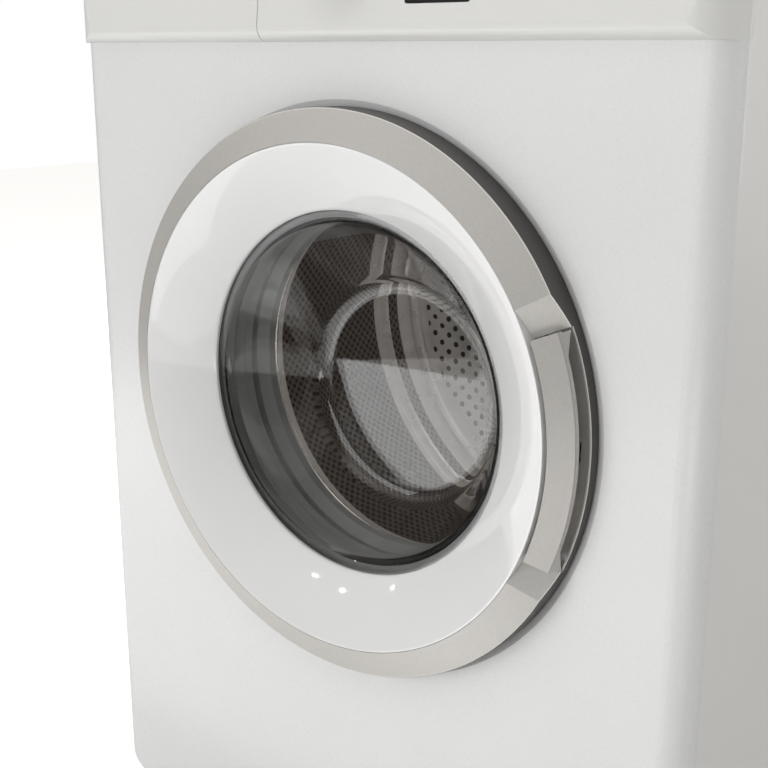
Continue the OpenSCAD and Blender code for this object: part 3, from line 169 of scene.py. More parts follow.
def spread(tree, value, low, high, x, y):
    """Maps the useful middle of a noise to a range of values."""
    return ramp(tree, value, (NOISE_LOW, NOISE_HIGH, low, high), x, y)


def tint(tree, value, dark, light, x, y):
    """Mixes two colours, each a triple or another node's output, by a value between 0 and 1."""
    made = node_at(tree, "ShaderNodeMix", x, y)
    made.data_type = "RGBA"
    feed(tree, made.inputs[0], value)
    feed(tree, made.inputs[6], dark)
    feed(tree, made.inputs[7], light)
    return made.outputs[2]


print("noise from", NOISE_LOW, "to", NOISE_HIGH, "is used")

# %% [markdown]
# Some finishes change with the place on the piece, like the rim of the silver ring or the holes of the
# drum. Masks painted by hand would fit one size only. Sums in the graph follow the construction's own
# measures, and the most useful of them is the distance from the door's axis.

# %% Sums, and the distance from the axis
def math_node(tree, kind, x, y, *values):
    """A maths node whose inputs are numbers or other nodes' outputs."""
    made = node_at(tree, "ShaderNodeMath", x, y)
    made.operation = kind
    for socket, value in zip(made.inputs, values):
        feed(tree, socket, value)
    return made.outputs[0]


def from_axis(tree, where, x, y):
    """Distance of a point from the door's axis, and its place along that axis."""
    xyz = node_at(tree, "ShaderNodeSeparateXYZ", x, y)
    tree.links.new(where, xyz.inputs[0])
    up = math_node(tree, "SUBTRACT", x + 200, y, xyz.outputs["Z"], AXIS_Z)
    squares = [math_node(tree, "MULTIPLY", x + 400, y, v, v) for v in (up, xyz.outputs["X"])]
    radius = math_node(tree, "SQRT", x + 800, y, math_node(tree, "ADD", x + 600, y, *squares))
    return radius, xyz.outputs["Y"]


print("radii are measured from", round(AXIS_Z, 4), "m above the floor")

# %% [markdown]
# With these, one recipe makes any moulded or painted finish. Fine noise at the scale of the grain raises
# the surface and varies its roughness, and slow clouds vary its colour. Each finish below only has to say
# how strong they are, so that two of them can be compared line by line.

# %% The recipe for a moulded or painted finish
CLOUDS = 9.0
ROUGH_PLAY = 0.15


def relief(tree, height, depth, shader, x, y, strength=1.0):
    """Raises the surface by a height, given in metres for a full step."""
    made = node_at(tree, "ShaderNodeBump", x, y, Strength=strength, Distance=depth)
    tree.links.new(height, made.inputs["Height"])
    tree.links.new(made.outputs[0], shader.inputs["Normal"])


def finish(name, colour, rough, grain, depth, uneven=0.04, metal=0.0, coat=0.0, stretch=(1, 1, 1),
           lacquer=0.04):
    """A finish; grain is in waves a metre, depth in metres, and lacquer is the roughness of its coat."""
    material, tree, shader, where = blank(name)
    fine = noise(tree, where, grain, -600, -300, 2.0, stretch)
    cloud = noise(tree, where, CLOUDS, -600, 200)
    dark = [c * (1 - uneven) for c in colour]
    light = [min(1, c * (1 + uneven)) for c in colour]
    even = spread(tree, cloud, 0, 1, -350, 200)
    tree.links.new(tint(tree, even, dark, light, -100, 200), shader.inputs["Base Color"])
    roughness = spread(tree, fine, rough * (1 - ROUGH_PLAY), rough * (1 + ROUGH_PLAY), -350, -50)
    tree.links.new(roughness, shader.inputs["Roughness"])
    relief(tree, fine, depth, shader, -100, -300)
    shader.inputs["Metallic"].default_value = metal
    shader.inputs["Coat Weight"].default_value = coat
    shader.inputs["Coat Roughness"].default_value = lacquer
    return material


print("a finish has", CLOUDS, "clouds a metre and a roughness within", ROUGH_PLAY, "of its own")

# %% [markdown]
# Paint on steel has a very slight orange peel under its gloss. The moulded white of the fascia is smoother
# and a touch warmer. Plastic inside the machine is left from the mould, matt and finely grained. A single
# white for all of them would be quicker, but then the seams between panel, fascia and side would hardly
# show.

# %% White finishes
front_enamel = finish("front_enamel", (0.745, 0.75, 0.755), 0.30, 900, 0.00001, 0.012,
                      coat=0.35, lacquer=0.22)
side_enamel = finish("side_enamel", (0.72, 0.72, 0.71), 0.42, 1200, 0.00004, 0.015)
fascia_white = finish("fascia_white", (0.715, 0.718, 0.71), 0.34, 1500, 0.00001, 0.012, coat=0.2)
moulded_white = finish("moulded_white", (0.70, 0.70, 0.68), 0.5, 2500, 0.00005, 0.02)
frame_grey = finish("frame_grey", (0.24, 0.24, 0.23), 0.45, 2500, 0.00005, 0.03)
worktop_laminate = finish("worktop_laminate", (0.74, 0.74, 0.73), 0.38, 700, 0.00004, 0.02)
tray_white = finish("tray_white", (0.68, 0.68, 0.66), 0.28, 1800, 0.00002, 0.02)
tub_grey = finish("tub_grey", (0.55, 0.55, 0.53), 0.6, 600, 0.0001, 0.05)
lifter_grey = finish("lifter_grey", (0.42, 0.41, 0.40), 0.3, 900, 0.00003, 0.05)
print(len(bpy.data.materials), "materials with the whites and greys")

# %% [markdown]
# The silver ring and the handle aren't bare metal: they are plastic with a metallic paint. Its flakes lie
# at all angles under a satin lacquer, so up close the surface glitters very finely. A half metallic shader
# whose base colour changes from flake to flake gives that grain without any picture. Along the ring's rim
# a thin pale line, not metallic, is painted in as a highlight. The side that stands in the recess is
# painted dark as the recess's shade.

# %% Silver paint with fine flakes
FLAKES = 2600.0
FLAKE_SHADE = 0.07
FLAKE_GLOSS = 0.2
FLAKE_DEPTH = 0.00002
FLAKE_TILT = 0.5
PAINT_METAL = 0.45
# The rim's thin pale line is a painted highlight, and the dark side in the recess is painted shade.
RIM_HIGHLIGHT_WIDTH = 0.9 * MM
RIM_HIGHLIGHT_TONE = (0.80, 0.78, 0.75)
RECESS_SHADE_WIDTH = 0.25 * MM
RECESS_SHADE_TONE = (0.075, 0.072, 0.07)


def flake_paint(name, colour, rough):
    """Paint whose colour, gloss and tilt change from flake to flake, with a painted highlight on the rim
    and painted shade on the side.
    """
    material, tree, shader, where = blank(name)
    flakes = node_at(tree, "ShaderNodeTexVoronoi", -700, 100, Scale=FLAKES)
    tree.links.new(where, flakes.inputs["Vector"])
    shade = node_at(tree, "ShaderNodeSeparateColor", -500, 100)
    tree.links.new(flakes.outputs["Color"], shade.inputs[0])
    dark = [c * (1 - FLAKE_SHADE) for c in colour]
    light = [min(1, c * (1 + FLAKE_SHADE)) for c in colour]
    face = tint(tree, shade.outputs[0], dark, light, -200, 100)
    radius = from_axis(tree, where, -1500, 700)[0]
    # Painted highlight along the rim, where the paint is also made non-metallic, and painted shade on the
    # side in the recess.
    rim_highlight = math_node(tree, "GREATER_THAN", -300, 500, radius, RING_R - RIM_HIGHLIGHT_WIDTH)
    side = math_node(tree, "GREATER_THAN", -300, 700, radius, RING_R - RECESS_SHADE_WIDTH)
    face = tint(tree, rim_highlight, face, RIM_HIGHLIGHT_TONE, 50, 300)
    face = tint(tree, side, face, RECESS_SHADE_TONE, 50, 450)
    tree.links.new(face, shader.inputs["Base Color"])
    metal = math_node(tree, "MULTIPLY_ADD", 50, 600, rim_highlight, -PAINT_METAL, PAINT_METAL)
    tree.links.new(metal, shader.inputs["Metallic"])
    low, high = rough * (1 - FLAKE_GLOSS), rough * (1 + FLAKE_GLOSS)
    tree.links.new(spread(tree, shade.outputs[1], low, high, -300, -100), shader.inputs["Roughness"])
    relief(tree, shade.outputs[2], FLAKE_DEPTH, shader, -100, -300, FLAKE_TILT)
    return material


ring_silver = flake_paint("ring_silver", (0.60, 0.585, 0.565), 0.42)
handle_silver = flake_paint("handle_silver", (0.59, 0.575, 0.555), 0.42)
knob_silver = finish("knob_silver", (0.52, 0.50, 0.48), 0.35, 2600, 0.00002, 0.1, metal=0.85)
print("flakes of", round(1000 / FLAKES, 2), "mm in the paint of a ring of", round(RING_R, 4), "m")

# %% [markdown]
# Most of the rest is seen only from behind or with a piece open: zinc-coated sheet with its cloudy spangle,
# plain turned steel, cast aluminium and bright spring wire, rubber, dark plastics and concrete. They all
# come from the one recipe, which is enough for pieces in the shade.

# %% Metals, rubber and dark plastics
zinc_sheet = finish("zinc_sheet", (0.55, 0.56, 0.57), 0.42, 140, 0.00003, 0.12, metal=0.9)
turned_steel = finish("turned_steel", (0.56, 0.56, 0.57), 0.3, 3000, 0.00001, 0.05, metal=1.0)
spring_wire = finish("spring_wire", (0.45, 0.46, 0.47), 0.28, 2500, 0.00001, 0.06, metal=1.0)
hinge_zinc = finish("hinge_zinc", (0.50, 0.50, 0.51), 0.38, 900, 0.00004, 0.08, metal=0.9)
cast_alloy = finish("cast_alloy", (0.60, 0.61, 0.62), 0.5, 500, 0.0002, 0.06, metal=0.9)
motor_paint = finish("motor_paint", (0.10, 0.10, 0.11), 0.45, 700, 0.00006, 0.1, metal=0.4)
foot_rubber = finish("foot_rubber", (0.03, 0.03, 0.03), 0.8, 1500, 0.00008, 0.1)
hose_rubber = finish("hose_rubber", (0.035, 0.035, 0.04), 0.6, 900, 0.00005, 0.1)
gasket_rubber = finish("gasket_rubber", (0.50, 0.50, 0.485), 0.42, 1100, 0.00004, 0.08)
belt_rubber = finish("belt_rubber", (0.02, 0.02, 0.02), 0.7, 900, 0.0001, 0.1, stretch=(0.1, 1, 0.1))
base_plastic = finish("base_plastic", (0.06, 0.06, 0.062), 0.6, 1500, 0.00008, 0.06)
grey_plastic = finish("grey_plastic", (0.17, 0.17, 0.175), 0.5, 1500, 0.00006, 0.05)
black_plastic = finish("black_plastic", (0.018, 0.018, 0.02), 0.42, 1500, 0.00005, 0.06)
display_black = finish("display_black", (0.008, 0.008, 0.009), 0.06, 400, 0.000002, 0.1, coat=1.0)
siphon_blue = finish("siphon_blue", (0.10, 0.20, 0.48), 0.3, 1200, 0.00003, 0.05)
board_green = finish("board_green", (0.02, 0.11, 0.05), 0.35, 300, 0.00005, 0.15)
cast_concrete = finish("cast_concrete", (0.32, 0.32, 0.30), 0.85, 260, 0.0006, 0.15)
print(len(bpy.data.materials), "materials with the metals, rubbers and plastics")

# %% [markdown]
# The glass bowl is thick and clear with the faintest grey in it. The sockets stay plain values, and only a
# very low relief of slow waves is added, because pressed glass is never perfectly flat. A little more of it
# would already break up what is seen through the bowl.

# %% Clear pressed glass
GLASS_WAVES = 9.0
WAVE_DEPTH = 0.00005
WAVE_STRENGTH = 0.1
REFRACTION = 1.5
GLASS_DARK = (0.955, 0.965, 0.965)
GLASS_CLEAR = (0.97, 0.975, 0.975)


def pressed_glass(name):
    """Clear glass with slow waves in its surface."""
    material, tree, shader, where = blank(name)
    waves = noise(tree, where, GLASS_WAVES, -500, -300, 0.0)
    relief(tree, waves, WAVE_DEPTH, shader, -200, -300, WAVE_STRENGTH)
    even = spread(tree, waves, 0, 1, -300, 0)
    tree.links.new(tint(tree, even, GLASS_DARK, GLASS_CLEAR, -100, 100), shader.inputs["Base Color"])
    shader.inputs["Transmission Weight"].default_value = 1.0
    shader.inputs["Roughness"].default_value = 0.0
    shader.inputs["IOR"].default_value = REFRACTION
    return material


bowl_glass = pressed_glass("bowl_glass")
print(bowl_glass.name, "with", GLASS_WAVES, "waves a metre")

# %% [markdown]
# The drum is thin stainless sheet, pressed with a field of small dimples and pierced with round holes. Real
# holes would cost a very heavy mesh for something that is seen through a curved glass, so the shader draws
# them. It has to know how far each point lies from the nearest point of a diagonal grid, and whether a
# length lies between two limits.

# %% Grids and bands
def grid_distance(tree, u, v, pitch, x, y):
    """Distance to the nearest point of a diagonal grid, as a share of its pitch."""
    nearest = None
    for shift in (0.0, 0.5):
        parts = []
        for length in (u, v):
            cell = math_node(tree, "MULTIPLY_ADD", x, y, length, 1 / pitch, shift)
            cell = math_node(tree, "FRACT", x + 150, y, cell)
            cell = math_node(tree, "SUBTRACT", x + 300, y, cell, 0.5)
            parts.append(math_node(tree, "MULTIPLY", x + 450, y, cell, cell))
        total = math_node(tree, "ADD", x + 600, y, *parts)
        share = math_node(tree, "SQRT", x + 750, y, total)
        nearest = share if nearest is None else math_node(tree, "MINIMUM", x + 900, y, nearest, share)
    return nearest


def between(tree, value, low, high, x, y):
    """1 where the value lies between two limits, and 0 elsewhere."""
    above = math_node(tree, "GREATER_THAN", x, y, value, low)
    below = math_node(tree, "LESS_THAN", x, y - 100, value, high)
    return math_node(tree, "MULTIPLY", x + 150, y, above, below)


print("grids and bands can be drawn")

# %% [markdown]
# Round the drum's wall the grid follows the angle and the depth, and on its back it lies flat. So the graph
# first turns each point's place into those lengths. Not all of the sheet is pierced: a plain bead runs
# round the wall, and the rounded corner, the middle and the rim of the back stay whole.

# %% Lengths and zones of the drum
CORNER = 0.018
BEAD_BACK = 0.034
BEAD_FRONT = 0.060
WALL_SKIN = 0.004
BACK_FIELD = (0.5, 0.9)


def drum_lengths(tree, where, wall):
    """Lengths of a point on the drum: across, up, round the wall, from the axis and into the depth."""
    xyz = node_at(tree, "ShaderNodeSeparateXYZ", -900, 0)
    tree.links.new(where, xyz.inputs[0])
    across = xyz.outputs["X"]
    up = math_node(tree, "SUBTRACT", -700, 100, xyz.outputs["Z"], AXIS_Z)
    angle = math_node(tree, "ARCTAN2", -500, 100, up, across)
    around = math_node(tree, "MULTIPLY", -300, 100, angle, wall)
    radius, deep = from_axis(tree, where, -1100, 300)
    return across, up, around, radius, deep


def drum_zones(tree, radius, deep, wall, front, back):
    """1 on the part of the wall that is pressed and pierced, and 1 on that of the back."""
    bead = between(tree, deep, back - BEAD_FRONT, back - BEAD_BACK, -300, 600)
    flat_wall = math_node(tree, "SUBTRACT", -100, 500, 1.0, bead)
    on_wall = between(tree, deep, front, back - CORNER, -300, 800)
    on_wall = math_node(tree, "MULTIPLY", 100, 600, on_wall, flat_wall)
    at_wall = math_node(tree, "GREATER_THAN", -100, 800, radius, wall - WALL_SKIN)
    on_wall = math_node(tree, "MULTIPLY", 250, 600, on_wall, at_wall)
    behind = math_node(tree, "GREATER_THAN", -100, 900, deep, back)
    field = between(tree, radius, wall * BACK_FIELD[0], wall * BACK_FIELD[1], -100, 1000)
    return on_wall, math_node(tree, "MULTIPLY", 100, 900, behind, field)


print("bead from", BEAD_FRONT, "to", BEAD_BACK, "m before the back")

# %% [markdown]
# The holes aren't cut: they are painted nearly black, as painted shade of the tub behind them. Each
# dimple is painted lighter on its slope and darker in its hollow, as painted light and shade, and the
# pressed wall is painted far darker than the plain sheet, so the same grid gives its relief and its
# painted shading. Light that goes many times from wall to wall in there is slow to follow, so a faint
# glow of the sheet's own colour stands for it.

# %% Perforated stainless steel
PITCH = 0.0105
WALL_HOLES = (1.8, 0.09)
BACK_HOLES = (1.85, 0.165)
# The holes' near black is painted shade of the tub behind them.
HOLE_SHADE_TONE = (0.014, 0.013, 0.012)
DIMPLE_PITCH = 0.9
DIMPLE_DEPTH = 0.0012
DIMPLE_SLOPE = (0.12, 0.34)
DIMPLE_EDGE = 0.4
DIMPLE_ROUND = 0.25
# Painted shade in the dimples' hollows and painted light on their slopes, both far darker than the plain
# sheet as painted shade of the drum's inside.
DIMPLE_SHADE_TONE = (0.045, 0.036, 0.03)
DIMPLE_LIT_TONE = (0.24, 0.205, 0.18)
SHEET_DARK = (0.58, 0.545, 0.515)
SHEET_LIGHT = (0.68, 0.64, 0.61)
SHEET_ROUGH = (0.26, 0.34)
SHEET_CLOUDS = 60.0
CLOUD_STRETCH = (1, 0.3, 1)
SHEET_GLOW = 0.12
WALL_GLOW = 0.03


def holes(tree, u, v, zone, size, y):
    """1 inside the holes of a zone; size gives their spacing in pitches and their radius in spacings."""
    spacing, radius = size
    grid = grid_distance(tree, u, v, PITCH * spacing, 200, y)
    inside = math_node(tree, "LESS_THAN", 1200, y, grid, radius)
    return math_node(tree, "MULTIPLY", 1300, y, zone, inside)


def drum_sheet(name, wall, front, back):
    """Steel for a drum of a wall radius, pierced between a front and a back depth, and on its back."""
    material, tree, shader, where = blank(name)
    across, up, around, radius, deep = drum_lengths(tree, where, wall)
    on_wall, on_back = drum_zones(tree, radius, deep, wall, front, back)
    wall_hole = holes(tree, around, deep, on_wall, WALL_HOLES, 200)
    back_hole = holes(tree, across, up, on_back, BACK_HOLES, 0)
    pierced = math_node(tree, "MAXIMUM", 1400, 100, wall_hole, back_hole)

    hollow = grid_distance(tree, around, deep, PITCH * DIMPLE_PITCH, 200, -400)
    height = math_node(tree, "SMOOTH_MIN", 1100, -400, hollow, DIMPLE_EDGE, DIMPLE_ROUND)
    height = math_node(tree, "MULTIPLY", 1200, -400, height, on_wall)
    relief(tree, height, DIMPLE_DEPTH, shader, 1650, -400)

    clouds = noise(tree, where, SHEET_CLOUDS, 900, -700, 2.0, CLOUD_STRETCH)
    # Painted light and shade of the dimples, by the distance from their grid.
    slope = ramp(tree, hollow, (*DIMPLE_SLOPE, 0.0, 1.0), 1250, -250)
    dimple_light_and_shade = tint(tree, slope, DIMPLE_SHADE_TONE, DIMPLE_LIT_TONE, 1350, -100)
    plain = tint(tree, spread(tree, clouds, 0, 1, 1100, -300), SHEET_DARK, SHEET_LIGHT, 1350, -300)
    sheet = tint(tree, on_wall, plain, dimple_light_and_shade, 1500, 0)
    # The holes are painted near black, as painted shade.
    sheet = tint(tree, pierced, sheet, HOLE_SHADE_TONE, 1650, 100)
    tree.links.new(sheet, shader.inputs["Base Color"])
    tree.links.new(sheet, shader.inputs["Emission Color"])
    glow = math_node(tree, "MULTIPLY_ADD", 1550, 300, on_wall, WALL_GLOW - SHEET_GLOW, SHEET_GLOW)
    tree.links.new(glow, shader.inputs["Emission Strength"])
    tree.links.new(math_node(tree, "SUBTRACT", 1550, -100, 1.0, pierced), shader.inputs["Metallic"])
    tree.links.new(spread(tree, clouds, *SHEET_ROUGH, 1300, -200), shader.inputs["Roughness"])
    shader.location = (1900, 0)
    return material


HOLES_FROM = 106
HOLES_TO = 392
drum_low, drum_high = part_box("drum")
DRUM_R = (drum_high.x - drum_low.x) / 2 - WALL_SKIN
drum_steel = drum_sheet("drum_steel", DRUM_R, at(0, HOLES_FROM, 0).y, at(0, HOLES_TO, 0).y)
print("drum radius", round(DRUM_R, 4))

# %% [markdown]
# Every node of the construction now gets its finish. The table below reads like a parts list: one line for
# each finish, with the pieces that wear it.

# %% Dress the construction
WEARS = {
    front_enamel: ["front_panel", "filter_flap"],
    side_enamel: ["side_panel_left", "side_panel_right"],
    fascia_white: ["fascia", "drawer_front", "top_cover"],
    worktop_laminate: ["top_board"],
    moulded_white: ["inlet_valve"],
    frame_grey: ["door_back_frame"],
    tray_white: ["drawer_tray"],
    tub_grey: ["tub_front", "tub_rear"],
    lifter_grey: ["drum_lifters"],
    ring_silver: ["door_ring"],
    handle_silver: ["handle_bar"],
    knob_silver: ["programme_knob", "button_power", "button_start", "button_temperature", "button_spin"],
    zinc_sheet: ["rear_panel", "rear_cover", "top_braces"],
    turned_steel: ["rear_screws", "foot_nuts", "handle_pin", "hinge_pin", "heater", "drum_bearings",
                   "motor_pulley"],
    spring_wire: ["handle_spring", "suspension_springs"],
    hinge_zinc: ["latch_hook", "hinge_arm", "hinge_bracket"],
    cast_alloy: ["drum_spider", "drum_pulley"],
    motor_paint: ["motor"],
    foot_rubber: ["feet"],
    hose_rubber: ["dispenser_hose", "fill_hose", "drain_hose"],
    gasket_rubber: ["gasket"],
    belt_rubber: ["drive_belt"],
    base_plastic: ["base_frame"],
    grey_plastic: ["transit_plugs", "filter_cap", "dispenser_housing", "dampers"],
    black_plastic: ["mains_gland", "door_lock", "drain_pump"],
    display_black: ["display_window"],
    siphon_blue: ["siphon_insert"],
    board_green: ["control_board"],
    cast_concrete: ["counterweight_front"],
    drum_steel: ["drum"],
}
for material, names in WEARS.items():
    for name in names:
        mesh = NODES[name].data
        mesh.materials.clear()
        mesh.materials.append(material)
dressed = sum(len(names) for names in WEARS.values())
print(dressed, "nodes dressed")

# %% [markdown]
# A turned piece is a profile swept round an axis. Blender's Screw modifier could sweep it, but the bowl
# below needs circles whose centres wander, so the helpers make the skin from circles instead. Edges sharper
# than a given angle stay crisp, and the rest is shaded smooth.

# %% A lathe for the door's round pieces
def smooth_mesh(name, material, vertices, faces, sharp=35):
    """An object from vertices and faces, shaded smooth except at edges sharper than an angle."""
    mesh = bpy.data.meshes.new(name)
    mesh.from_pydata(vertices, [], faces)
    mesh.validate()
    shell = bmesh.new()
    shell.from_mesh(mesh)
    bmesh.ops.recalc_face_normals(shell, faces=shell.faces)
    shell.to_mesh(mesh)
    shell.free()
    mesh.shade_smooth()
    mesh.set_sharp_from_angle(angle=math.radians(sharp))
    mesh.materials.append(material)
    piece = bpy.data.objects.new(name, mesh)
    bpy.context.collection.objects.link(piece)
    return piece


def ring_points(rings, steps):
    """Points of circles about the door's axis; a ring is its radius, its depth and its centre's drop."""
    return [at(r * math.cos(a), d, r * math.sin(a) - drop)
            for r, d, drop in rings
            for a in [2 * math.pi * i / steps for i in range(steps)]]


def ring_faces(count, steps, closed):
    """Faces from each circle to the next, and from the last to the first where the skin is closed."""
    pairs = [(k * steps, (k + 1) % count * steps) for k in range(count if closed else count - 1)]
    return [(this + i, this + (i + 1) % steps, after + (i + 1) % steps, after + i)
            for this, after in pairs
            for i in range(steps)]


def turn(name, material, profile, steps, sharp=35):
    """Sweeps a closed profile of radii and depths round the door's axis."""
    rings = [(r, d, 0) for r, d in profile]
    faces = ring_faces(len(rings), steps, True)
    return smooth_mesh(name, material, ring_points(rings, steps), faces, sharp)


print("lathe ready")

# %% [markdown]
# The white ring is the glossiest surface of the machine, and it mirrors the room. Any facet in it would
# show as a kink in the reflections, so it is turned again from its smooth curve: flat near the crest,
# steeper towards the glass, with small round edges where the mould parts. A foot at its inner edge rests on
# the glass.

# %% Turn the white ring
CREST_R = 198.4
GLASS_R = 146.0
WIDTH = CREST_R - GLASS_R
WALL = 2.5
EDGE = 0.9
FOOT_WIDTH = 5.5
FOOT_DEPTH = 3.8
SKIRT_DEPTH = -6.2
BEND = 0.25


def dished(r):
    """Depth of the ring's face at a radius."""
    share = (CREST_R - r) / WIDTH
    return -crest + (crest + 1) * ((1 - BEND) * share + BEND * share * share)


gloss_white = finish("gloss_white", (0.78, 0.785, 0.792), 0.06, 300, 0.000002, 0.01, coat=0.6)
face_radii = [CREST_R - EDGE - (WIDTH - 2 * EDGE) * i / 40 for i in range(41)]
back_radii = [GLASS_R + FOOT_WIDTH + (WIDTH - FOOT_WIDTH - WALL) * i / 24 for i in range(25)]
white_profile = (
    [(CREST_R, dished(CREST_R) + EDGE * 1.2), (CREST_R - 0.25, dished(CREST_R) + 0.45)]
    + [(r, dished(r)) for r in face_radii]
    + [(GLASS_R + 0.3, dished(GLASS_R) + 0.1), (GLASS_R, 1.5)]
    + [(GLASS_R, FOOT_DEPTH), (GLASS_R + FOOT_WIDTH, FOOT_DEPTH)]
    + [(r, dished(r) + WALL) for r in back_radii]
    + [(CREST_R - WALL, SKIRT_DEPTH), (CREST_R, SKIRT_DEPTH)])
white_ring = turn("white_ring", gloss_white, white_profile, 360)
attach(white_ring, "door")
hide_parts("door_inner_ring")
print("white ring:", len(white_ring.data.polygons), "faces")

# %% [markdown]
# The lever ends in a small facet at each corner, which leads the eye down from its face to the rim of the
# silver ring. Each facet is a thin wedge, hulled from its five corners, and it moves with the lever. A hull
# needs no list of faces, and the same corners serve both ends with their angles turned round.

# %% Facets at the ends of the handle
FACET = [(219.0, 22.7, -21.0), (219.0, 16.8, -21.0), (222.5, 22.6, -11.0), (213.0, 22.6, -16.4),
         (213.0, 18.0, -16.4)]


def polar(r, degrees, depth):
    """A point from its radius, its angle and its depth."""
    angle = math.radians(degrees)
    return at(r * math.cos(angle), depth, r * math.sin(angle))


for ending, side in (("upper", 1), ("lower", -1)):
    wedge = bmesh.new()
    for r, degrees, depth in FACET:
        wedge.verts.new(polar(r, side * degrees, depth))
    bmesh.ops.convex_hull(wedge, input=wedge.verts)
    mesh = bpy.data.meshes.new("handle_facet")
    wedge.to_mesh(mesh)
    wedge.free()
    mesh.materials.append(handle_silver)
    facet = bpy.data.objects.new("handle_facet_" + ending, mesh)
    bpy.context.collection.objects.link(facet)
    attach(facet, "handle")
    print(facet.name, "has", len(mesh.polygons), "faces")

# %% [markdown]
# The bowl is pressed from one gob of glass: a flat flange that the ring clamps, a wall that narrows, and a
# nose whose centre drops below the door's axis to keep the laundry in the drum. Both skins are lofted from
# circles whose centres slide down as they go back, with round turns between wall and nose.

# %% Circles of the glass bowl
DROP = 13.0
DROP_FROM = 11.0
DROP_TO = 74.0
TURN_STEPS = 12
NOSE_STEPS = 8
NOSE_RISE = 0.4
MOUTH_R = 147.0
MOUTH_TURN = 14.0
FLANGE_DEPTH = 4.0


def bowl_ring(r, d):
    """A circle of the bowl, its centre lowered in step with its depth."""
    share = max(0.0, min(1.0, (d - DROP_FROM) / (DROP_TO - DROP_FROM)))
    return (r, d, DROP * share)


def bowl_wall(start, end, bend, turn_r, steps=26):
    """A wall between two points of radius and depth, the round turn that follows, and the nose."""
    (r0, d0), (r1, d1) = start, end
    wall = [(r0 - (r0 - r1) * (i / steps) ** bend, d0 + (d1 - d0) * i / steps) for i in range(steps + 1)]
    slope = math.atan((r0 - r1) * bend / (d1 - d0))
    for i in range(1, TURN_STEPS + 1):
        a = slope + (math.pi / 2 - slope) * i / TURN_STEPS
        wall.append((r1 - turn_r * (math.cos(slope) - math.cos(a)),
                     d1 + turn_r * (math.sin(a) - math.sin(slope))))
    r2, d2 = wall[-1]
    shares = [1 - i / NOSE_STEPS for i in range(1, NOSE_STEPS)]
    return wall + [(r2 * share, d2 + NOSE_RISE * (1 - share ** 2)) for share in shares]


lip = [(MOUTH_R - MOUTH_TURN * math.sin(a), FLANGE_DEPTH + MOUTH_TURN * (1 - math.cos(a)))
       for a in [math.radians(6 * i) for i in range(11)]]
inside = bowl_wall(lip[-1], (94.9, 72.8), 1.1, 16)
outside = bowl_wall((141.0, 9.0), (100.0, 76.2), 1.12, 20)
flange = [(157.2, FLANGE_DEPTH), (158.0, 4.8), (158.0, 8.2), (157.2, 9.0), (143.5, 9.0)]
print("the glass reaches", round(outside[-1][1], 1), "mm behind the front face")

# %% [markdown]
# The skin begins in the middle of the nose's inner side, comes forward to the flange, goes round it and
# ends in the middle of the outer side. Its two ends are closed with a flat face each.

# %% Loft the glass bowl
BOWL_STEPS = 192
rings = ([bowl_ring(r, d) for r, d in reversed(inside)]
         + [(r, d, 0) for r, d in reversed(lip[:-1])]
         + [(r, d, 0) for r, d in flange]
         + [bowl_ring(r, d) for r, d in outside])
last = (len(rings) - 1) * BOWL_STEPS
faces = ring_faces(len(rings), BOWL_STEPS, False)
faces += [tuple(range(BOWL_STEPS)), tuple(last + i for i in range(BOWL_STEPS))]
bowl = smooth_mesh("glass_bowl", bowl_glass, ring_points(rings, BOWL_STEPS), faces, 60)
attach(bowl, "door")
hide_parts("door_glass")
print("bowl:", len(bowl.data.polygons), "faces")

# %% [markdown]
# The mouth of the drum is rolled outwards over a bright steel ring. It is the one clear line behind the
# glass, so it gets a turned ring of its own, polished, just inside the gasket.

# %% Turn the bright lip of the drum
LIP_R = 149.4
LIP_DEPTH = 78.7
LIP_T = 2.0
LIP_STEPS = 24

polished_steel = finish("polished_steel", (0.86, 0.84, 0.81), 0.18, 500, 0.000004, 0.03, metal=1.0)
lip_profile = [(LIP_R + LIP_T * math.cos(a), LIP_DEPTH + LIP_T * math.sin(a))
               for a in [2 * math.pi * i / LIP_STEPS for i in range(LIP_STEPS)]]
drum_lip = turn("drum_lip", polished_steel, lip_profile, 256, 60)
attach(drum_lip, "drum")
print("drum lip:", len(drum_lip.data.polygons), "faces")

# %% [markdown]
# A studio for a pale appliance is a pale room, in which the floor and the walls send light back from
# everywhere. What the gloss of the ring and the glass mirrors matters as much: a pale floor that ends about
# two metres away, and that is dark to the right of the machine, where the photograph's reflections are
# dark. A floor that is really dark there would also dim the soft light on the paint, so this one looks dark
# only to mirrored rays. For the camera it is lifted to white.

# %% Floor
FLOOR_HALF = 6
FLOOR_GRAIN = 40
FLOOR_ROUGH = 0.6
FLOOR_DARK = (0.78, 0.775, 0.76)
FLOOR_PALE = (0.82, 0.815, 0.80)
MIRRORED_DARK = (0.03, 0.03, 0.03)
FLOOR_REACH = 1.97
DARK_RIGHT_OF = 0.3
DARK_BEHIND = -0.5
FLOOR_LIFT = 0.6


def path_is(tree, kind, x, y):
    """1 for rays of the given kind, and 0 for the others."""
    return node_at(tree, "ShaderNodeLightPath", x, y).outputs[kind]


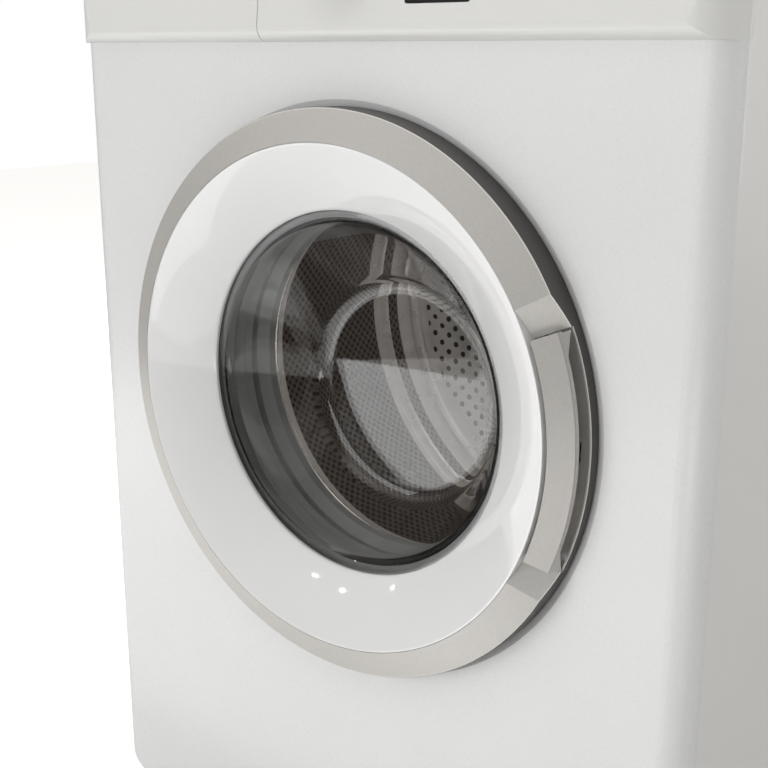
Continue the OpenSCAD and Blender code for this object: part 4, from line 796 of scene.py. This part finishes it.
floor_material, tree, shader, where = blank("pale_floor")
grain = noise(tree, where, FLOOR_GRAIN, -600, -300)
relief(tree, grain, 0.0002, shader, -100, -300)
pale = tint(tree, spread(tree, grain, 0, 1, -350, 100), FLOOR_DARK, FLOOR_PALE, -100, 100)
reach = node_at(tree, "ShaderNodeVectorMath", -900, 200)
reach.operation = "LENGTH"
tree.links.new(where, reach.inputs[0])
spot = node_at(tree, "ShaderNodeSeparateXYZ", -900, 400)
tree.links.new(where, spot.inputs[0])
right = math_node(tree, "GREATER_THAN", -700, 400, spot.outputs["X"], DARK_RIGHT_OF)
near = math_node(tree, "GREATER_THAN", -700, 500, spot.outputs["Y"], DARK_BEHIND)
far = math_node(tree, "GREATER_THAN", -700, 100, reach.outputs["Value"], FLOOR_REACH)
dark = math_node(tree, "MAXIMUM", -550, 100, far, math_node(tree, "MULTIPLY", -550, 400, right, near))
mirrored = math_node(tree, "MULTIPLY", -300, 300, dark, path_is(tree, "Is Glossy Ray", -500, 300))
tree.links.new(tint(tree, mirrored, pale, MIRRORED_DARK, 100, 200), shader.inputs["Base Color"])
shader.inputs["Roughness"].default_value = FLOOR_ROUGH
shader.inputs["Emission Color"].default_value = (1, 1, 1, 1)
lifted = math_node(tree, "MULTIPLY", 100, 0, path_is(tree, "Is Camera Ray", -100, 0), FLOOR_LIFT)
tree.links.new(lifted, shader.inputs["Emission Strength"])
corners = [(x * FLOOR_HALF, y * FLOOR_HALF, 0) for x, y in ((-1, -1), (1, -1), (1, 1), (-1, 1))]
floor = smooth_mesh("studio_floor", floor_material, corners, [(0, 1, 2, 3)])
print("floor", 2 * FLOOR_HALF, "m wide, mirrored to", FLOOR_REACH, "m")

# %% [markdown]
# Walls and ceiling could be built as large sheets, but the world's own background does their work with less
# noise. It gives each kind of ray what that ray needs. To the soft light it is a wide glow, stronger from
# the left. To reflections it is a dim wall with a cream ceiling above it, and dark on the right. To the
# camera it is plain white.

# %% World
SOFT_LIGHT = (-0.6, 0.7, 0.60, 0.26)
WALL_TOP = (0.12, 0.55, 0.0, 1.0)
DARK_FROM = (0.25, 0.40, 0.0, 1.0)
WALL_LEVEL = 0.14
CEILING_LEVEL = 0.62
DARK_LEVEL = 0.05
CREAM = (1.0, 0.975, 0.93)
WHITE = (1.0, 1.0, 1.0)


def blend(tree, share, first, second, x, y):
    """Mixes two levels, each a number or another node's output."""
    made = node_at(tree, "ShaderNodeMix", x, y)
    feed(tree, made.inputs[0], share)
    feed(tree, made.inputs[2], first)
    feed(tree, made.inputs[3], second)
    return made.outputs[0]


world = bpy.data.worlds.new("studio")
bpy.context.scene.world = world
world.use_nodes = True
air = world.node_tree
air.nodes.clear()
direction = node_at(air, "ShaderNodeTexCoord", -1100, 0)
toward = node_at(air, "ShaderNodeSeparateXYZ", -900, 0)
air.links.new(direction.outputs["Generated"], toward.inputs[0])
soft_light = ramp(air, toward.outputs["X"], SOFT_LIGHT, -600, 200)
above_wall = ramp(air, toward.outputs["Z"], WALL_TOP, -600, -300, True)
ceiling = blend(air, above_wall, WALL_LEVEL, CEILING_LEVEL, -350, -100)
dark_side = ramp(air, toward.outputs["X"], DARK_FROM, -600, -500, True)
mirrored_room = blend(air, dark_side, ceiling, DARK_LEVEL, -350, -300)
seen = path_is(air, "Is Camera Ray", -400, 500)
room = blend(air, path_is(air, "Is Glossy Ray", -400, 300), soft_light, mirrored_room, -200, 0)
sky = node_at(air, "ShaderNodeBackground", 100, 0)
air.links.new(tint(air, seen, CREAM, WHITE, -150, -200), sky.inputs["Color"])
air.links.new(blend(air, seen, room, 1.0, -50, 0), sky.inputs["Strength"])
exit_node = node_at(air, "ShaderNodeOutputWorld", 300, 0)
air.links.new(sky.outputs[0], exit_node.inputs[0])
print("world from", SOFT_LIGHT[3], "to", SOFT_LIGHT[2], "for soft light")

# %% [markdown]
# The lamps only shape the pale room. A wide one in front and a weak one above light the face. The wings,
# the overhead lamp and the back wall stand behind the front face, so they light only the sides, the top and
# the back. Of them all, reflections see only the back wall, because the others would show as hard bright
# shapes in the glossy ring.

# %% Lamps that shape the machine
MIDDLE = (0, 0.05, 0.5)
SHAPING = [
    ("front_fill", (-0.7, -3.0, 0.9), (0, 0, 0.45), 2.6, 1.4, 36, (0.985, 0.99, 1.0)),
    ("top_light", (0.3, -1.4, 2.6), (0, -0.2, 0.4), 1.8, 1.2, 6, (1.0, 0.98, 0.95)),
    ("right_wing", (2.7, 1.1, 1.2), MIDDLE, 1.8, 1.8, 26, WHITE),
    ("left_wing", (-2.7, 1.1, 1.2), MIDDLE, 1.8, 1.8, 22, WHITE),
    ("overhead", (0, 0.9, 3.0), MIDDLE, 1.8, 1.8, 24, WHITE),
]


def softbox(name, place, target, width, tall, power, colour):
    """An area lamp that the camera doesn't see."""
    data = bpy.data.lights.new(name, "AREA")
    data.shape = "RECTANGLE"
    data.size = width
    data.size_y = tall
    data.energy = power
    data.color = colour
    lamp = bpy.data.objects.new(name, data)
    bpy.context.collection.objects.link(lamp)
    lamp.location = place
    lamp.rotation_euler = (Vector(target) - Vector(place)).to_track_quat("-Z", "Y").to_euler()
    lamp.visible_camera = False
    return lamp


for row in SHAPING:
    softbox(*row).visible_glossy = False
softbox("back_wall", (0.4, 3.2, 1.1), (0, 0, 0.45), 3.0, 2.0, 24, WHITE)
print("shaping lamps:", sum(row[5] for row in SHAPING), "W")

# %% [markdown]
# The bright streaks in the ring and the glass come from things that the photograph doesn't show. Cards
# lying on the floor stand for what is pale there, and three small spots for lamps in the ceiling. The cards
# are seen in reflections only, so they don't change the light on the paint.

# %% Cards and spots for the reflections
CARDS = [
    ("floor_card", (-0.70, -0.945, 0.010), 1.8, 1.17, 4.8, (0.97, 0.98, 1.0)),
    ("side_card", (1.15, -1.45, 0.010), 0.9, 0.60, 4.0, (0.97, 0.98, 1.0)),
    ("glass_card", (-0.9, -1.19, 0.012), 1.4, 0.68, 3.2, (0.95, 0.97, 1.0)),
]
SPOTS = [(-1.67, -2.9, 2.2), (-2.5, -2.9, 2.2), (-4.6, -2.7, 2.2)]
SPOT_TARGET = (0, -0.3, 0.4)
SPOT_POWER = 0.9

for name, place, width, tall, power, colour in CARDS:
    card = softbox(name, place, (place[0], place[1], 1), width, tall, power, colour)
    card.visible_diffuse = False
for i, place in enumerate(SPOTS):
    softbox("ceiling_spot_%d" % i, place, SPOT_TARGET, 0.10, 0.05, SPOT_POWER, WHITE)
